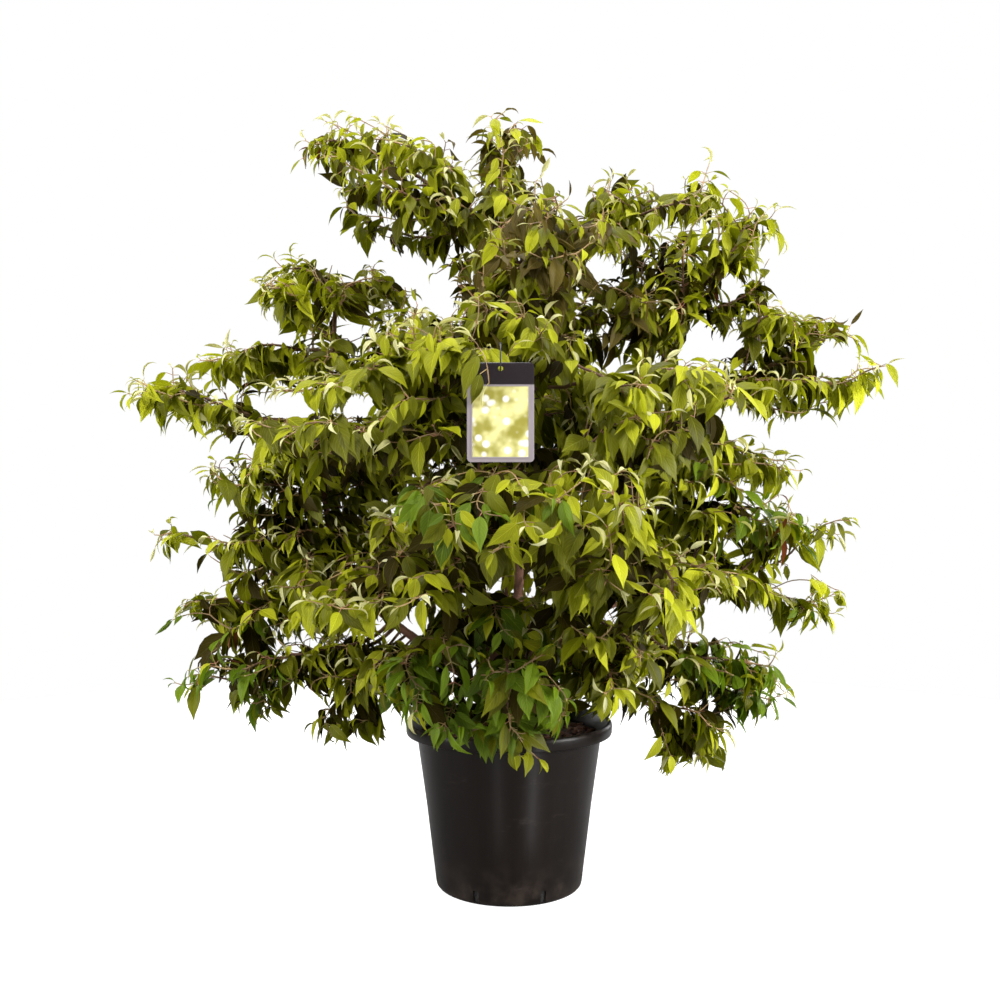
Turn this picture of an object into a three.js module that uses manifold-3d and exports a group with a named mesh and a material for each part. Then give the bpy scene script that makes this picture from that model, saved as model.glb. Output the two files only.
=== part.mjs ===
// A snowball viburnum in its nursery pot, in millimetres, +Z up. The origin is the centre of the pot's flat
// underside. The shrub has a short main stem with a flared foot, five long stems, side boughs that fork off
// them, and masses of leaves in tiers. The pot is a tapered plastic container with a rolled rim and drain
// slots. Bearings are degrees anticlockwise round +Z from +X, so 270 is the front of the shrub.
import * as THREE from "three";
import { mergeVertices } from "three/addons/utils/BufferGeometryUtils.js";
import Module from "manifold-3d";

const wasm = await Module();
wasm.setup();

// Driving dimensions of the pot.
const POT_HEIGHT = 398;
const POT_BASE_RADIUS = 177;
const POT_NECK_RADIUS = 223; // of the wall just under the rim
const RIM_RADIUS = 250;
const RIM_HEIGHT = 30;
const RIM_LIP = 9; // rounding of the rim's upper edge
const FOOT_ROUNDING = 14;
const POT_WALL = 5;
const POT_SIDES = 24;
const SLOT_COUNT = 7;
const SLOT_WIDTH = 14;
const SLOT_LOW = 7;
const SLOT_HIGH = 35;

// Driving dimensions of the compost and of the main stem that stands on it.
const COMPOST_TOP = 372;
const COMPOST_FALL = 8; // how much lower the compost lies at the pot's wall
const COMPOST_FLAT = 75; // radius of the level ground round the stem
const STEM_HEIGHT = 150;
const STEM_RADIUS = 36;
const STEM_LEAN = [14, 8];
const STEM_CUT = 12; // length that the level cut takes off the stem's foot
const FLARE_SHARE = 0.75; // how much wider the stem's foot is than its neck
const FLARE_FADE = 34; // height over which the flare dies away
const FLARE_ROOTS = 5;

// Driving dimensions of the hanging tag.
const TAG_WIDTH = 128;
const TAG_HEIGHT = 190;
const TAG_THICKNESS = 1.6;
const TAG_CORNER = 8;
const TAG_CENTRE = [-21, -612, 1099];
const TAG_HOLE_RADIUS = 5;
const TAG_HOLE_DROP = 12; // from the tag's top edge down to the middle of its hole
const LOOP_RADIUS = 26;
const LOOP_THICKNESS = 3;
const LOOP_LEAN = 60; // degrees between the tag's face and the line from its hole to the middle of the loop

// Sizes that hold all over the shrub.
const GAP = 0.3; // between pieces that touch
const SEAT_DEPTH = 70; // how far a bough's end goes into its mass of leaves
const LIMB_SIDES = 5;
const LIMB_ROWS = 3; // lengths that a bough is made of
const STEM_ROWS = 6; // the same, of a long stem
const COLLAR = 0.3; // swelling of a limb where it leaves its parent
const COLLAR_LENGTH = 35;
const MASS_DETAIL = 3; // subdivisions of a mass's surface
const PLAIN_DETAIL = 2; // the same, on the masses that others hide or that limbs cut into many faces
const PLAIN_MASSES = [
  "upper_heart", "mid_core", "left_inner", "back_rim", "rim_spray", "upper_right", "left_mid", "front_upper",
  "front_mid", "left_lower", "right_lower", "right_mid",
];
const MASS_FULLNESS = 2.7; // 2 is an ellipsoid, more is squarer
const MASS_LUMPS = 9;
const LUMP_HEIGHT = 0.36;
const UNDERSIDE = 0.78; // a tier of leaves is flatter below than above
const FAR = 8000; // side of a block that reaches past the shrub on every side

// name, bearing, nearer end, further end, height of the middle, rise to the further end, thickness, width
const MASSES = [
  ["crown_top", 0, -95, 105, 1682, 0, 336, 380],
  ["top_left", 178, 20, 508, 1692, 160, 285, 400],
  ["top_right", 2, 75, 668, 1577, 10, 318, 420],
  ["top_back", 72, 130, 500, 1560, -20, 230, 350],
  ["top_front", 284, 120, 480, 1485, -40, 240, 360],
  ["upper_heart", 0, -240, 250, 1375, 0, 300, 480],
  ["upper_left", 181, 195, 625, 1415, 50, 200, 400],
  ["upper_right", 350, 120, 470, 1368, -20, 260, 380],
  ["right_shoulder", 3, 425, 855, 1340, -60, 175, 380],
  ["right_reach", 357, 430, 908, 1206, 30, 142, 420],
  ["left_peak", 176, 490, 745, 1268, 0, 130, 300],
  ["far_left", 183, 480, 935, 1155, 85, 140, 360],
  ["left_inner", 188, 190, 520, 1240, 0, 190, 420],
  ["front_upper", 262, 200, 615, 1252, -40, 215, 480],
  ["back_upper", 92, 230, 640, 1320, -30, 230, 520],
  ["mid_core", 0, -330, 350, 1080, 0, 290, 560],
  ["left_mid", 180, 190, 772, 1005, -10, 240, 460],
  ["right_mid", 2, 260, 725, 982, 10, 205, 380],
  ["front_left", 228, 260, 720, 1085, -30, 215, 480],
  ["front_right", 312, 240, 720, 1115, -30, 235, 480],
  ["front_mid", 270, 200, 740, 912, -50, 240, 560],
  ["back_left", 135, 260, 780, 1110, -20, 230, 540],
  ["back_right", 45, 260, 780, 1130, -20, 230, 540],
  ["left_lower", 184, 250, 905, 830, 10, 175, 440],
  ["right_lower", 358, 262, 832, 866, -12, 158, 420],
  ["left_drop", 177, 400, 830, 657, -10, 135, 400],
  ["right_drop", 3, 420, 812, 704, -20, 112, 380],
  ["front_low_left", 232, 240, 700, 745, -60, 185, 480],
  ["front_low_right", 305, 240, 700, 760, -60, 185, 480],
  ["back_low_left", 128, 200, 760, 790, -50, 240, 560],
  ["back_low_right", 52, 200, 760, 775, -50, 240, 560],
  ["back_rim", 90, 110, 470, 570, -50, 230, 430],
  ["bottom_left_reach", 184, 110, 835, 530, 0, 200, 420],
  ["bottom_right_reach", 356, 90, 715, 528, -70, 215, 430],
  ["bottom_left", 187, 275, 505, 392, -10, 150, 240],
  ["bottom_right", 349, 285, 520, 378, -20, 190, 220],
  ["rim_spray", 269, 125, 445, 578, -90, 305, 660],
];

// The five long stems: name, bearing and height of the foot on the main stem, knee, tip, thickness at foot
// and tip.
const STEMS = [
  ["stem_centre", 75, 455, [30, 45, 950], [10, 20, 1580], 30, 14],
  ["stem_left", 176, 440, [-420, -40, 800], [-420, -20, 1372], 26, 12],
  ["stem_right", 352, 445, [270, 10, 830], [400, 5, 1320], 26, 12],
  ["stem_front", 262, 435, [-70, -210, 780], [-50, -300, 1225], 24, 12],
  ["stem_back", 98, 425, [-10, 250, 820], [10, 330, 1275], 26, 12],
];

// The side boughs: mass that the bough carries, parent limb, how far along the parent it forks, thickness
// at its foot.
const BOUGHS = [
  ["top_left", "stem_centre", 0.95, 15],
  ["top_right", "stem_centre", 0.93, 15],
  ["far_left", "stem_left", 0.74, 15],
  ["right_reach", "stem_right", 0.76, 15],
  ["right_drop", "stem_right", 0.24, 15],
  ["left_lower", "stem_left", 0.3, 15],
  ["bottom_left_reach", "stem_left", 0.06, 16],
  ["bottom_right_reach", "stem_right", 0.04, 16],
  ["front_low_left", "stem_front", 0.16, 14],
  ["front_low_right", "main_stem", 0.72, 16],
  ["back_low_left", "stem_back", 0.22, 16],
  ["back_low_right", "stem_centre", 0.12, 16],
  ["rim_spray", "main_stem", 0.42, 12],
];
const BOUGH_TIP = 9;
const BOUGH_RISE = 0.16; // how far a bough arches above the straight line, as a share of its length

const COLOURS = {
  leaves: { color: 0x6f8a1f, roughness: 0.55 },
  bark: { color: 0x6b4a35, roughness: 0.85 },
  compost: { color: 0x3a241a, roughness: 0.95 },
  pot: { color: 0x1f1c1b, roughness: 0.42 },
  tag: { color: 0xb9bd9a, roughness: 0.3 },
  strap: { color: 0x151515, roughness: 0.4 },
};

const group = new THREE.Group();

// A repeatable stream of numbers from 0 to 1.
function randomFrom(seed) {
  let state = seed;
  return () => {
    state = (state + 0x6d2b79f5) | 0;
    let mixed = Math.imul(state ^ (state >>> 15), 1 | state);
    mixed = (mixed + Math.imul(mixed ^ (mixed >>> 7), 61 | mixed)) ^ mixed;
    return ((mixed ^ (mixed >>> 14)) >>> 0) / 4294967296;
  };
}

function radians(degrees) {
  return THREE.MathUtils.degToRad(degrees);
}

function atBearing(bearing, reach, height) {
  return new THREE.Vector3(reach * Math.cos(radians(bearing)), reach * Math.sin(radians(bearing)), height);
}

// A closed solid from a geometry: shared vertices merged, collapsed triangles at the poles left out, faces
// outwards.
function solidOf(geometry) {
  const bare = geometry.clone();
  bare.deleteAttribute("normal");
  bare.deleteAttribute("uv");
  const merged = mergeVertices(bare, 1e-3);
  const at = merged.attributes.position;
  const corner = [new THREE.Vector3(), new THREE.Vector3(), new THREE.Vector3()];
  const kept = [];
  let volume = 0;
  for (let i = 0; i < merged.index.count; i += 3) {
    const [a, b, c] = [0, 1, 2].map((k) => merged.index.getX(i + k));
    if (a !== b && b !== c && c !== a) {
      kept.push([a, b, c]);
      [a, b, c].forEach((index, k) => corner[k].fromBufferAttribute(at, index));
      volume += corner[0].dot(corner[1].clone().cross(corner[2]));
    }
  }
  const outwards = volume < 0 ? kept.map(([a, b, c]) => [a, c, b]) : kept;
  const mesh = new wasm.Mesh({
    numProp: 3,
    vertProperties: new Float32Array(at.array),
    triVerts: new Uint32Array(outwards.flat()),
  });
  return new wasm.Manifold(mesh);
}

function geometryOf(solid) {
  const mesh = solid.getMesh();
  const geometry = new THREE.BufferGeometry();
  geometry.setAttribute("position", new THREE.BufferAttribute(new Float32Array(mesh.vertProperties), 3));
  geometry.setIndex(new THREE.BufferAttribute(new Uint32Array(mesh.triVerts), 1));
  geometry.computeVertexNormals();
  return geometry;
}

function largestPiece(solid) {
  return solid.decompose().sort((a, b) => b.volume() - a.volume())[0];
}

function boxesMeet(a, b) {
  const [one, other] = [a.boundingBox(), b.boundingBox()];
  return [0, 1, 2].every((k) => one.min[k] < other.max[k] && other.min[k] < one.max[k]);
}

function addNode(name, solid, finish) {
  const material = new THREE.MeshStandardMaterial({ metalness: 0, ...COLOURS[finish] });
  const mesh = new THREE.Mesh(geometryOf(solid), material);
  mesh.name = name;
  group.add(mesh);
}

// A round profile turned about +Z.
function turned(profile, sides) {
  const points = profile.map(([radius, height]) => new THREE.Vector2(radius, height));
  const geometry = new THREE.LatheGeometry(points, sides);
  geometry.rotateX(Math.PI / 2);
  return geometry;
}

// A limb tapers from its foot to its tip along a curve. Its rows are turned as a straight stack one unit
// apart, then each row is carried to its place on the curve. grow makes a copy that is larger all round.
function limbSolid(limb, grow = 0) {
  const rows = limb.rows ?? LIMB_ROWS;
  const length = limb.curve.getLength();
  const profile = [new THREE.Vector2(0, 0)];
  for (let row = 0; row <= rows; row += 1) {
    profile.push(new THREE.Vector2(limbRadius(limb, row / rows) + grow, row));
  }
  profile.push(new THREE.Vector2(0, rows));
  const geometry = new THREE.LatheGeometry(profile, limb.sides ?? LIMB_SIDES);
  const frames = limb.curve.computeFrenetFrames(rows, false);
  const at = geometry.attributes.position;
  for (let i = 0; i < at.count; i += 1) {
    const row = Math.round(at.getY(i));
    const [x, z] = [at.getX(i), at.getZ(i)];
    const swell = limb.lobes ? limb.lobes((row / rows) * length, Math.atan2(z, x)) : 1;
    const place = limb.curve.getPointAt(row / rows);
    place.addScaledVector(frames.normals[row], x * swell);
    place.addScaledVector(frames.binormals[row], z * swell);
    const past = row === 0 ? -grow : row === rows ? grow : 0;
    place.addScaledVector(frames.tangents[row], past);
    at.setXYZ(i, place.x, place.y, place.z);
  }
  return solidOf(geometry);
}

function limbRadius(limb, share) {
  const length = limb.curve.getLength();
  const taper = THREE.MathUtils.lerp(limb.foot, limb.tip, share ** 0.85);
  return (taper / 2) * (1 + COLLAR * Math.exp((-share * length) / COLLAR_LENGTH));
}

// The pot: the outer wall up to the rolled rim, over the lip, and down inside to the floor, with slots round
// its foot.
function potSolid() {
  const neck = POT_HEIGHT - RIM_HEIGHT;
  const outside = [[0, 0], [POT_BASE_RADIUS - FOOT_ROUNDING, 0]];
  for (const degrees of [-60, -30, 0]) {
    const radius = POT_BASE_RADIUS - FOOT_ROUNDING * (1 - Math.cos(radians(degrees)));
    outside.push([radius, FOOT_ROUNDING * (1 + Math.sin(radians(degrees)))]);
  }
  outside.push([POT_NECK_RADIUS, neck - 6], [RIM_RADIUS - 3, neck], [RIM_RADIUS, neck + 5]);
  outside.push([RIM_RADIUS, POT_HEIGHT - RIM_LIP], [RIM_RADIUS - RIM_LIP / 2, POT_HEIGHT]);
  const inside = [[RIM_RADIUS - RIM_LIP * 1.6, POT_HEIGHT], [RIM_RADIUS - RIM_LIP * 2, POT_HEIGHT - RIM_LIP]];
  inside.push([innerRadius(neck), neck], [innerRadius(POT_WALL), POT_WALL], [0, POT_WALL]);
  let pot = solidOf(turned([...outside, ...inside], POT_SIDES));
  for (let k = 0; k < SLOT_COUNT; k += 1) {
    const bearing = 90 + (k * 360) / SLOT_COUNT;
    const slot = new THREE.BoxGeometry(POT_WALL * 8, SLOT_WIDTH, SLOT_HIGH - SLOT_LOW);
    slot.rotateZ(radians(bearing));
    const middle = atBearing(bearing, POT_BASE_RADIUS, (SLOT_LOW + SLOT_HIGH) / 2);
    slot.translate(middle.x, middle.y, middle.z);
    pot = pot.subtract(solidOf(slot));
  }
  return pot;
}

// The radius of the inner wall at a height, on the straight line from foot to neck.
function innerRadius(height) {
  const share = height / (POT_HEIGHT - RIM_HEIGHT);
  return THREE.MathUtils.lerp(POT_BASE_RADIUS, POT_NECK_RADIUS, share) - POT_WALL;
}

function compostSolid() {
  const edge = COMPOST_TOP - COMPOST_FALL;
  const low = POT_WALL + GAP;
  const profile = [[0, low], [innerRadius(low) - GAP, low], [innerRadius(edge) - GAP, edge]];
  profile.push([innerRadius(edge) * 0.7, COMPOST_TOP - COMPOST_FALL / 3], [COMPOST_FLAT, COMPOST_TOP]);
  profile.push([0, COMPOST_TOP]);
  return solidOf(turned(profile, POT_SIDES));
}

// The main stem leans a little, and its flare spreads into a few roots where it meets the compost. It starts
// a little below the compost's top, where a level cut ends it afterwards.
function mainStem() {
  const foot = new THREE.Vector3(0, 0, COMPOST_TOP - STEM_CUT);
  const top = new THREE.Vector3(STEM_LEAN[0], STEM_LEAN[1], COMPOST_TOP + STEM_HEIGHT);
  return {
    name: "main_stem",
    curve: new THREE.LineCurve3(foot, top),
    foot: STEM_RADIUS * 2,
    tip: STEM_RADIUS * 1.5,
    sides: 15,
    rows: 4,
    lobes: (height, angle) => {
      const fade = Math.exp(-height / FLARE_FADE);
      return 1 + FLARE_SHARE * fade * (0.7 + 0.3 * Math.cos(FLARE_ROOTS * angle));
    },
  };
}

function longStem([name, bearing, height, knee, tip, foot, thin], trunk) {
  const share = (height - COMPOST_TOP) / STEM_HEIGHT;
  const start = trunk.curve.getPointAt(share).add(atBearing(bearing, STEM_RADIUS * 0.55, 0));
  const points = [start, new THREE.Vector3(...knee), new THREE.Vector3(...tip)];
  return { name, curve: new THREE.CatmullRomCurve3(points), foot, tip: thin, rows: STEM_ROWS };
}

// The middle of a mass's nearer end, where its bough comes in.
function massEntry(name, depth) {
  const [, bearing, near, far, height, rise] = MASSES.find((mass) => mass[0] === name);
  const share = depth / (far - near);
  return atBearing(bearing, near + depth, height + rise * (share - 0.5));
}

function sideBough([mass, parentName, share, foot], limbs) {
  const parent = limbs.find((limb) => limb.name === parentName);
  const start = parent.curve.getPointAt(share);
  const end = massEntry(mass, SEAT_DEPTH);
  const middle = start.clone().lerp(end, 0.5);
  middle.z += BOUGH_RISE * start.distanceTo(end);
  const curve = new THREE.QuadraticBezierCurve3(start, middle, end);
  return { name: `bough_${mass}`, curve, foot, tip: BOUGH_TIP };
}

// One mass of leaves: a ball with seeded lumps, flatter below, drawn out to its named sizes and set along
// its bearing.
function massSolid([name, bearing, near, far, height, rise, thickness, width], seed) {
  const random = randomFrom(seed);
  const lumps = Array.from({ length: MASS_LUMPS }, () => {
    const up = random() * 2 - 1;
    const turn = random() * Math.PI * 2;
    const flat = Math.sqrt(1 - up * up);
    const direction = new THREE.Vector3(flat * Math.cos(turn), flat * Math.sin(turn), up);
    return { direction, size: LUMP_HEIGHT * (random() * 1.6 - 0.6) };
  });
  const detail = PLAIN_MASSES.includes(name) ? PLAIN_DETAIL : MASS_DETAIL;
  const geometry = new THREE.OctahedronGeometry(1, detail);
  const at = geometry.attributes.position;
  const point = new THREE.Vector3();
  for (let i = 0; i < at.count; i += 1) {
    point.fromBufferAttribute(at, i).normalize();
    const fullness = point.toArray().reduce((sum, value) => sum + Math.abs(value) ** MASS_FULLNESS, 0);
    const bulge = lumps.reduce((sum, lump) => {
      return sum + lump.size * Math.max(0, point.dot(lump.direction)) ** 3;
    }, 1);
    point.multiplyScalar(bulge / fullness ** (1 / MASS_FULLNESS));
    point.z *= point.z < 0 ? UNDERSIDE : 1;
    at.setXYZ(i, point.x, point.y, point.z);
  }
  geometry.computeBoundingBox();
  const middle = geometry.boundingBox.getCenter(new THREE.Vector3());
  const size = geometry.boundingBox.getSize(new THREE.Vector3());
  geometry.translate(-middle.x, -middle.y, -middle.z);
  geometry.scale((far - near) / size.x, width / size.y, thickness / size.z);
  geometry.rotateY(-Math.atan2(rise, far - near));
  geometry.rotateZ(radians(bearing));
  const centre = atBearing(bearing, (near + far) / 2, height);
  geometry.translate(centre.x, centre.y, centre.z);
  return { centre, solid: solidOf(geometry), reach: [(far - near) / 2, width / 2, thickness / 2], bearing };
}

// The direction in which two masses part: the line between their middles, weighed by how flat each of them
// is.
function partingDirection(a, b) {
  const between = b.centre.clone().sub(a.centre);
  const direction = new THREE.Vector3();
  for (const mass of [a, b]) {
    const local = between.clone().applyAxisAngle(new THREE.Vector3(0, 0, 1), -radians(mass.bearing));
    local.set(local.x / mass.reach[0] ** 2, local.y / mass.reach[1] ** 2, local.z / mass.reach[2] ** 2);
    direction.add(local.applyAxisAngle(new THREE.Vector3(0, 0, 1), radians(mass.bearing)));
  }
  return direction.normalize();
}

// The furthest that a solid reaches along a direction.
function furthest(solid, direction) {
  const mesh = solid.getMesh();
  let most = -Infinity;
  for (let i = 0; i < mesh.vertProperties.length; i += 3) {
    const [x, y, z] = mesh.vertProperties.slice(i, i + 3);
    most = Math.max(most, x * direction.x + y * direction.y + z * direction.z);
  }
  return most;
}

// Everything beyond a plane, as a large block.
function blockBeyond(direction, distance) {
  const block = new THREE.BoxGeometry(FAR, FAR, FAR);
  block.translate(0, 0, FAR / 2);
  const turn = new THREE.Quaternion().setFromUnitVectors(new THREE.Vector3(0, 0, 1), direction);
  block.applyQuaternion(turn);
  block.translate(direction.x * distance, direction.y * distance, direction.z * distance);
  return solidOf(block);
}

function cutLevel(solid, height) {
  return solid.subtract(blockBeyond(new THREE.Vector3(0, 0, -1), -height));
}

// Two masses that reach into each other are parted by a plane half-way through the shared stretch.
function partMasses(a, b) {
  if (!boxesMeet(a.solid, b.solid) || a.solid.intersect(b.solid).volume() < 1) {
    return;
  }
  const direction = partingDirection(a, b);
  const back = direction.clone().negate();
  const plane = (furthest(a.solid, direction) - furthest(b.solid, back)) / 2;
  a.solid = a.solid.subtract(blockBeyond(direction, plane - GAP / 2));
  b.solid = b.solid.subtract(blockBeyond(back, -plane - GAP / 2));
}

// The tag hangs facing the front, turned a little, with a hole near its top edge.
function tagSolid(grow = 0) {
  const [halfWidth, halfHeight, corner] = [TAG_WIDTH / 2 + grow, TAG_HEIGHT / 2 + grow, TAG_CORNER];
  const outline = new THREE.Shape();
  outline.absarc(halfWidth - corner, halfHeight - corner, corner, 0, Math.PI / 2, false);
  outline.absarc(corner - halfWidth, halfHeight - corner, corner, Math.PI / 2, Math.PI, false);
  outline.absarc(corner - halfWidth, corner - halfHeight, corner, Math.PI, Math.PI * 1.5, false);
  outline.absarc(halfWidth - corner, corner - halfHeight, corner, Math.PI * 1.5, Math.PI * 2, false);
  if (grow === 0) {
    const hole = new THREE.Path();
    hole.absarc(0, TAG_HEIGHT / 2 - TAG_HOLE_DROP, TAG_HOLE_RADIUS, 0, Math.PI * 2, true);
    outline.holes.push(hole);
  }
  const depth = TAG_THICKNESS + grow * 2;
  const plate = new THREE.ExtrudeGeometry(outline, { depth, bevelEnabled: false, curveSegments: 3 });
  plate.translate(0, 0, -depth / 2);
  plate.rotateX(Math.PI / 2);
  plate.translate(...TAG_CENTRE);
  return solidOf(plate);
}

// The strap that holds the tag is a ring through its hole, which goes back into the leaves behind it.
function loopSolid(grow = 0) {
  const ring = new THREE.TorusGeometry(LOOP_RADIUS, LOOP_THICKNESS / 2 + grow, 4, 12);
  ring.rotateY(Math.PI / 2);
  const [x, y, z] = TAG_CENTRE;
  const [back, up] = [Math.cos(radians(LOOP_LEAN)), Math.sin(radians(LOOP_LEAN))];
  ring.translate(x, y + LOOP_RADIUS * back, z + TAG_HEIGHT / 2 - TAG_HOLE_DROP + LOOP_RADIUS * up);
  return solidOf(ring);
}

// The limbs, thickest first: each is cut where it leaves its parent, so that it sits on the parent's surface.
const limbs = [mainStem()];
STEMS.forEach((stem) => limbs.push(longStem(stem, limbs[0])));
BOUGHS.forEach((bough) => limbs.push(sideBough(bough, limbs)));
limbs.forEach((limb, i) => {
  limb.solid = limbSolid(limb);
  limb.grown = limbSolid(limb, GAP);
  limb.solid = cutLevel(limb.solid, COMPOST_TOP + GAP);
  for (const earlier of limbs.slice(0, i)) {
    if (boxesMeet(limb.solid, earlier.grown)) {
      limb.solid = largestPiece(limb.solid.subtract(earlier.grown));
    }
  }
});

// The masses, parted from each other and cut round every limb, the tag and its strap.
const masses = MASSES.map((mass, i) => ({ name: mass[0], ...massSolid(mass, i + 1) }));
masses.forEach((mass, i) => masses.slice(i + 1).forEach((other) => partMasses(mass, other)));
const cutters = [...limbs.map((limb) => limb.grown), tagSolid(GAP), loopSolid(GAP)];
for (const mass of masses) {
  for (const cutter of cutters) {
    if (boxesMeet(mass.solid, cutter)) {
      mass.solid = mass.solid.subtract(cutter);
    }
  }
  mass.solid = largestPiece(mass.solid);
}

addNode("pot", potSolid(), "pot");
addNode("compost", compostSolid(), "compost");
limbs.forEach((limb) => addNode(limb.name, limb.solid, "bark"));
masses.forEach((mass) => addNode(`leaves_${mass.name}`, mass.solid, "leaves"));
addNode("tag", tagSolid(), "tag");
addNode("tag_loop", loopSolid(), "strap");

export default group;
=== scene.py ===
# %% [markdown]
# # A snowball viburnum in its nursery pot
# The real plant is a broad, tiered shrub, nearly two metres high, in a black plastic container. Its frame
# holds a plain solid for every limb and every mass of leaves. This lesson puts the looks on that frame:
# bark on the limbs, twigs that grow out from them, leaves in pairs, crumbly compost, and a moulded pot with
# a label. Everything is in metres, Z up, with the middle of the pot's underside at the origin.

import math

import bpy
import numpy as np
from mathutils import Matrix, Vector, kdtree, noise
from mathutils.bvhtree import BVHTree


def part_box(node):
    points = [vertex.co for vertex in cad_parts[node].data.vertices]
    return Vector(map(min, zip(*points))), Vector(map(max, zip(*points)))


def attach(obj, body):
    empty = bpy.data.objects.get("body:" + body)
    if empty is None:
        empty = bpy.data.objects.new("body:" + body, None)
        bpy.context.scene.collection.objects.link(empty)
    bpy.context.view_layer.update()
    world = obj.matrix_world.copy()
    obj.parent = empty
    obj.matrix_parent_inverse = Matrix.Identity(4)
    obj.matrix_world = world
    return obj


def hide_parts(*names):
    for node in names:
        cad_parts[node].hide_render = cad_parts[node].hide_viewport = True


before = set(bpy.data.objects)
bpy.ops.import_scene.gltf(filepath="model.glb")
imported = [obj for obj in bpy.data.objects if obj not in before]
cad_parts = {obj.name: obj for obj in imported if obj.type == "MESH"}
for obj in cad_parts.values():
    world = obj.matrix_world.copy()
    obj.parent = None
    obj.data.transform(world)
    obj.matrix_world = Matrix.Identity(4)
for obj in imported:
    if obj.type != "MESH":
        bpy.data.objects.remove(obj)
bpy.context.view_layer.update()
UP = Vector((0, 0, 1))
ONES = Vector((1, 1, 1))
chance = np.random.default_rng(1912)
noise.seed_set(1)  # otherwise Blender's noise vectors differ from one run to the next

# %% [markdown]
# ## Camera, lights and floor
# A catalogue picture of a plant is taken level, from straight ahead, against white. A wide soft box under
# the ceiling and one above the camera light the tiers from above, so that each throws its shadow on the
# next. Boxes at the sides fill the lower tiers, and two behind the plant light its edges. Two narrow strips
# close to the pot draw upright highlights on it. Floor and world are white to the camera, but give the
# plant less light than they show, so that the inside of the crown stays deep.

# %% Camera
CAMERA_PLACE = (-0.022, -2.8, 0.932)
FOCAL_LENGTH = 41.4
SENSOR_WIDTH = 36


def put_in_scene(name, data):
    thing = bpy.data.objects.new(name, data)
    bpy.context.scene.collection.objects.link(thing)
    return thing


view_data = bpy.data.cameras.new("front_camera")
view_data.sensor_width = SENSOR_WIDTH
view_data.lens = FOCAL_LENGTH
front_camera = put_in_scene("front_camera", view_data)
front_camera.location = CAMERA_PLACE
front_camera.rotation_euler = (math.radians(90), 0, 0)
bpy.context.scene.camera = front_camera
bpy.context.scene.view_settings.view_transform = "Standard"
print("camera", CAMERA_PLACE, "lens", FOCAL_LENGTH)

# %% Soft boxes
# name, place, point aimed at, width, height, watts, and how widely the light fans out, in degrees
SOFT_BOXES = [
    ("box_ceiling", (0, 0.3, 4.6), (0, 0, 0), 3.2, 3.2, 218, 180),
    ("box_above", (-0.7, -3.0, 3.9), (0, 0, 1.0), 1.2, 0.9, 122, 180),
    ("box_left", (-2.9, -1.6, 1.3), (0, 0, 0.9), 1.0, 1.8, 112, 180),
    ("box_right", (2.9, -1.4, 1.3), (0, 0, 0.9), 1.0, 1.8, 205, 180),
    ("strip_left", (-0.085, -0.415, 0.17), (-0.029, -0.211, 0.17), 0.035, 0.31, 0.07, 120),
    ("strip_right", (0.170, -0.383, 0.17), (0.059, -0.205, 0.17), 0.035, 0.31, 0.21, 120),
    ("box_back_left", (-2.6, 2.4, 1.7), (0, 0, 1.0), 1.6, 2.6, 80, 180),
    ("box_back_right", (2.6, 2.4, 1.7), (0, 0, 1.0), 1.6, 2.6, 80, 180),
]


def soft_box(name, place, aim, width, height, watts, fan):
    data = bpy.data.lights.new(name, "AREA")
    data.spread = math.radians(fan)
    data.shape = "RECTANGLE"
    data.size = width
    data.size_y = height
    data.energy = watts
    light = put_in_scene(name, data)
    light.visible_camera = False
    light.location = place
    light.rotation_euler = (Vector(aim) - Vector(place)).to_track_quat("-Z", "Y").to_euler()


for box in SOFT_BOXES:
    soft_box(*box)
print(len(SOFT_BOXES), "soft boxes")

# %% [markdown]
# ## Writing a finish as a sum
# A finish is a small network of nodes. Wiring it by hand takes many lines, so one class holds a material
# and adds a node in one call, and another wraps a socket so that sums, products and differences of values
# read as they do on paper. Colours are mixed by a Mix node, because a Math node would turn them grey.


# %% Values that run through a finish
class Value:
    """One output of a node. An expression on values adds the Math nodes that work it out."""

    def __init__(self, finish, socket):
        self.finish = finish
        self.socket = socket

    def math(self, operation, *others):
        return self.finish.node("ShaderNodeMath", {"operation": operation}, dict(enumerate((self, *others))))

    def __add__(self, other):
        return self.math("ADD", other)

    def __sub__(self, other):
        return self.math("SUBTRACT", other)

    def __rsub__(self, other):
        return self.finish.node("ShaderNodeMath", {"operation": "SUBTRACT"}, {0: other, 1: self})

    def __mul__(self, other):
        return self.math("MULTIPLY", other)

    __radd__ = __add__
    __rmul__ = __mul__

    def between(self, low, high):
        """0 below low, 1 above high, and a smooth step in the middle."""
        ends = {"Value": self, "From Min": low, "From Max": high}
        return self.finish.node("ShaderNodeMapRange", {"interpolation_type": "SMOOTHSTEP"}, ends)


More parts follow.
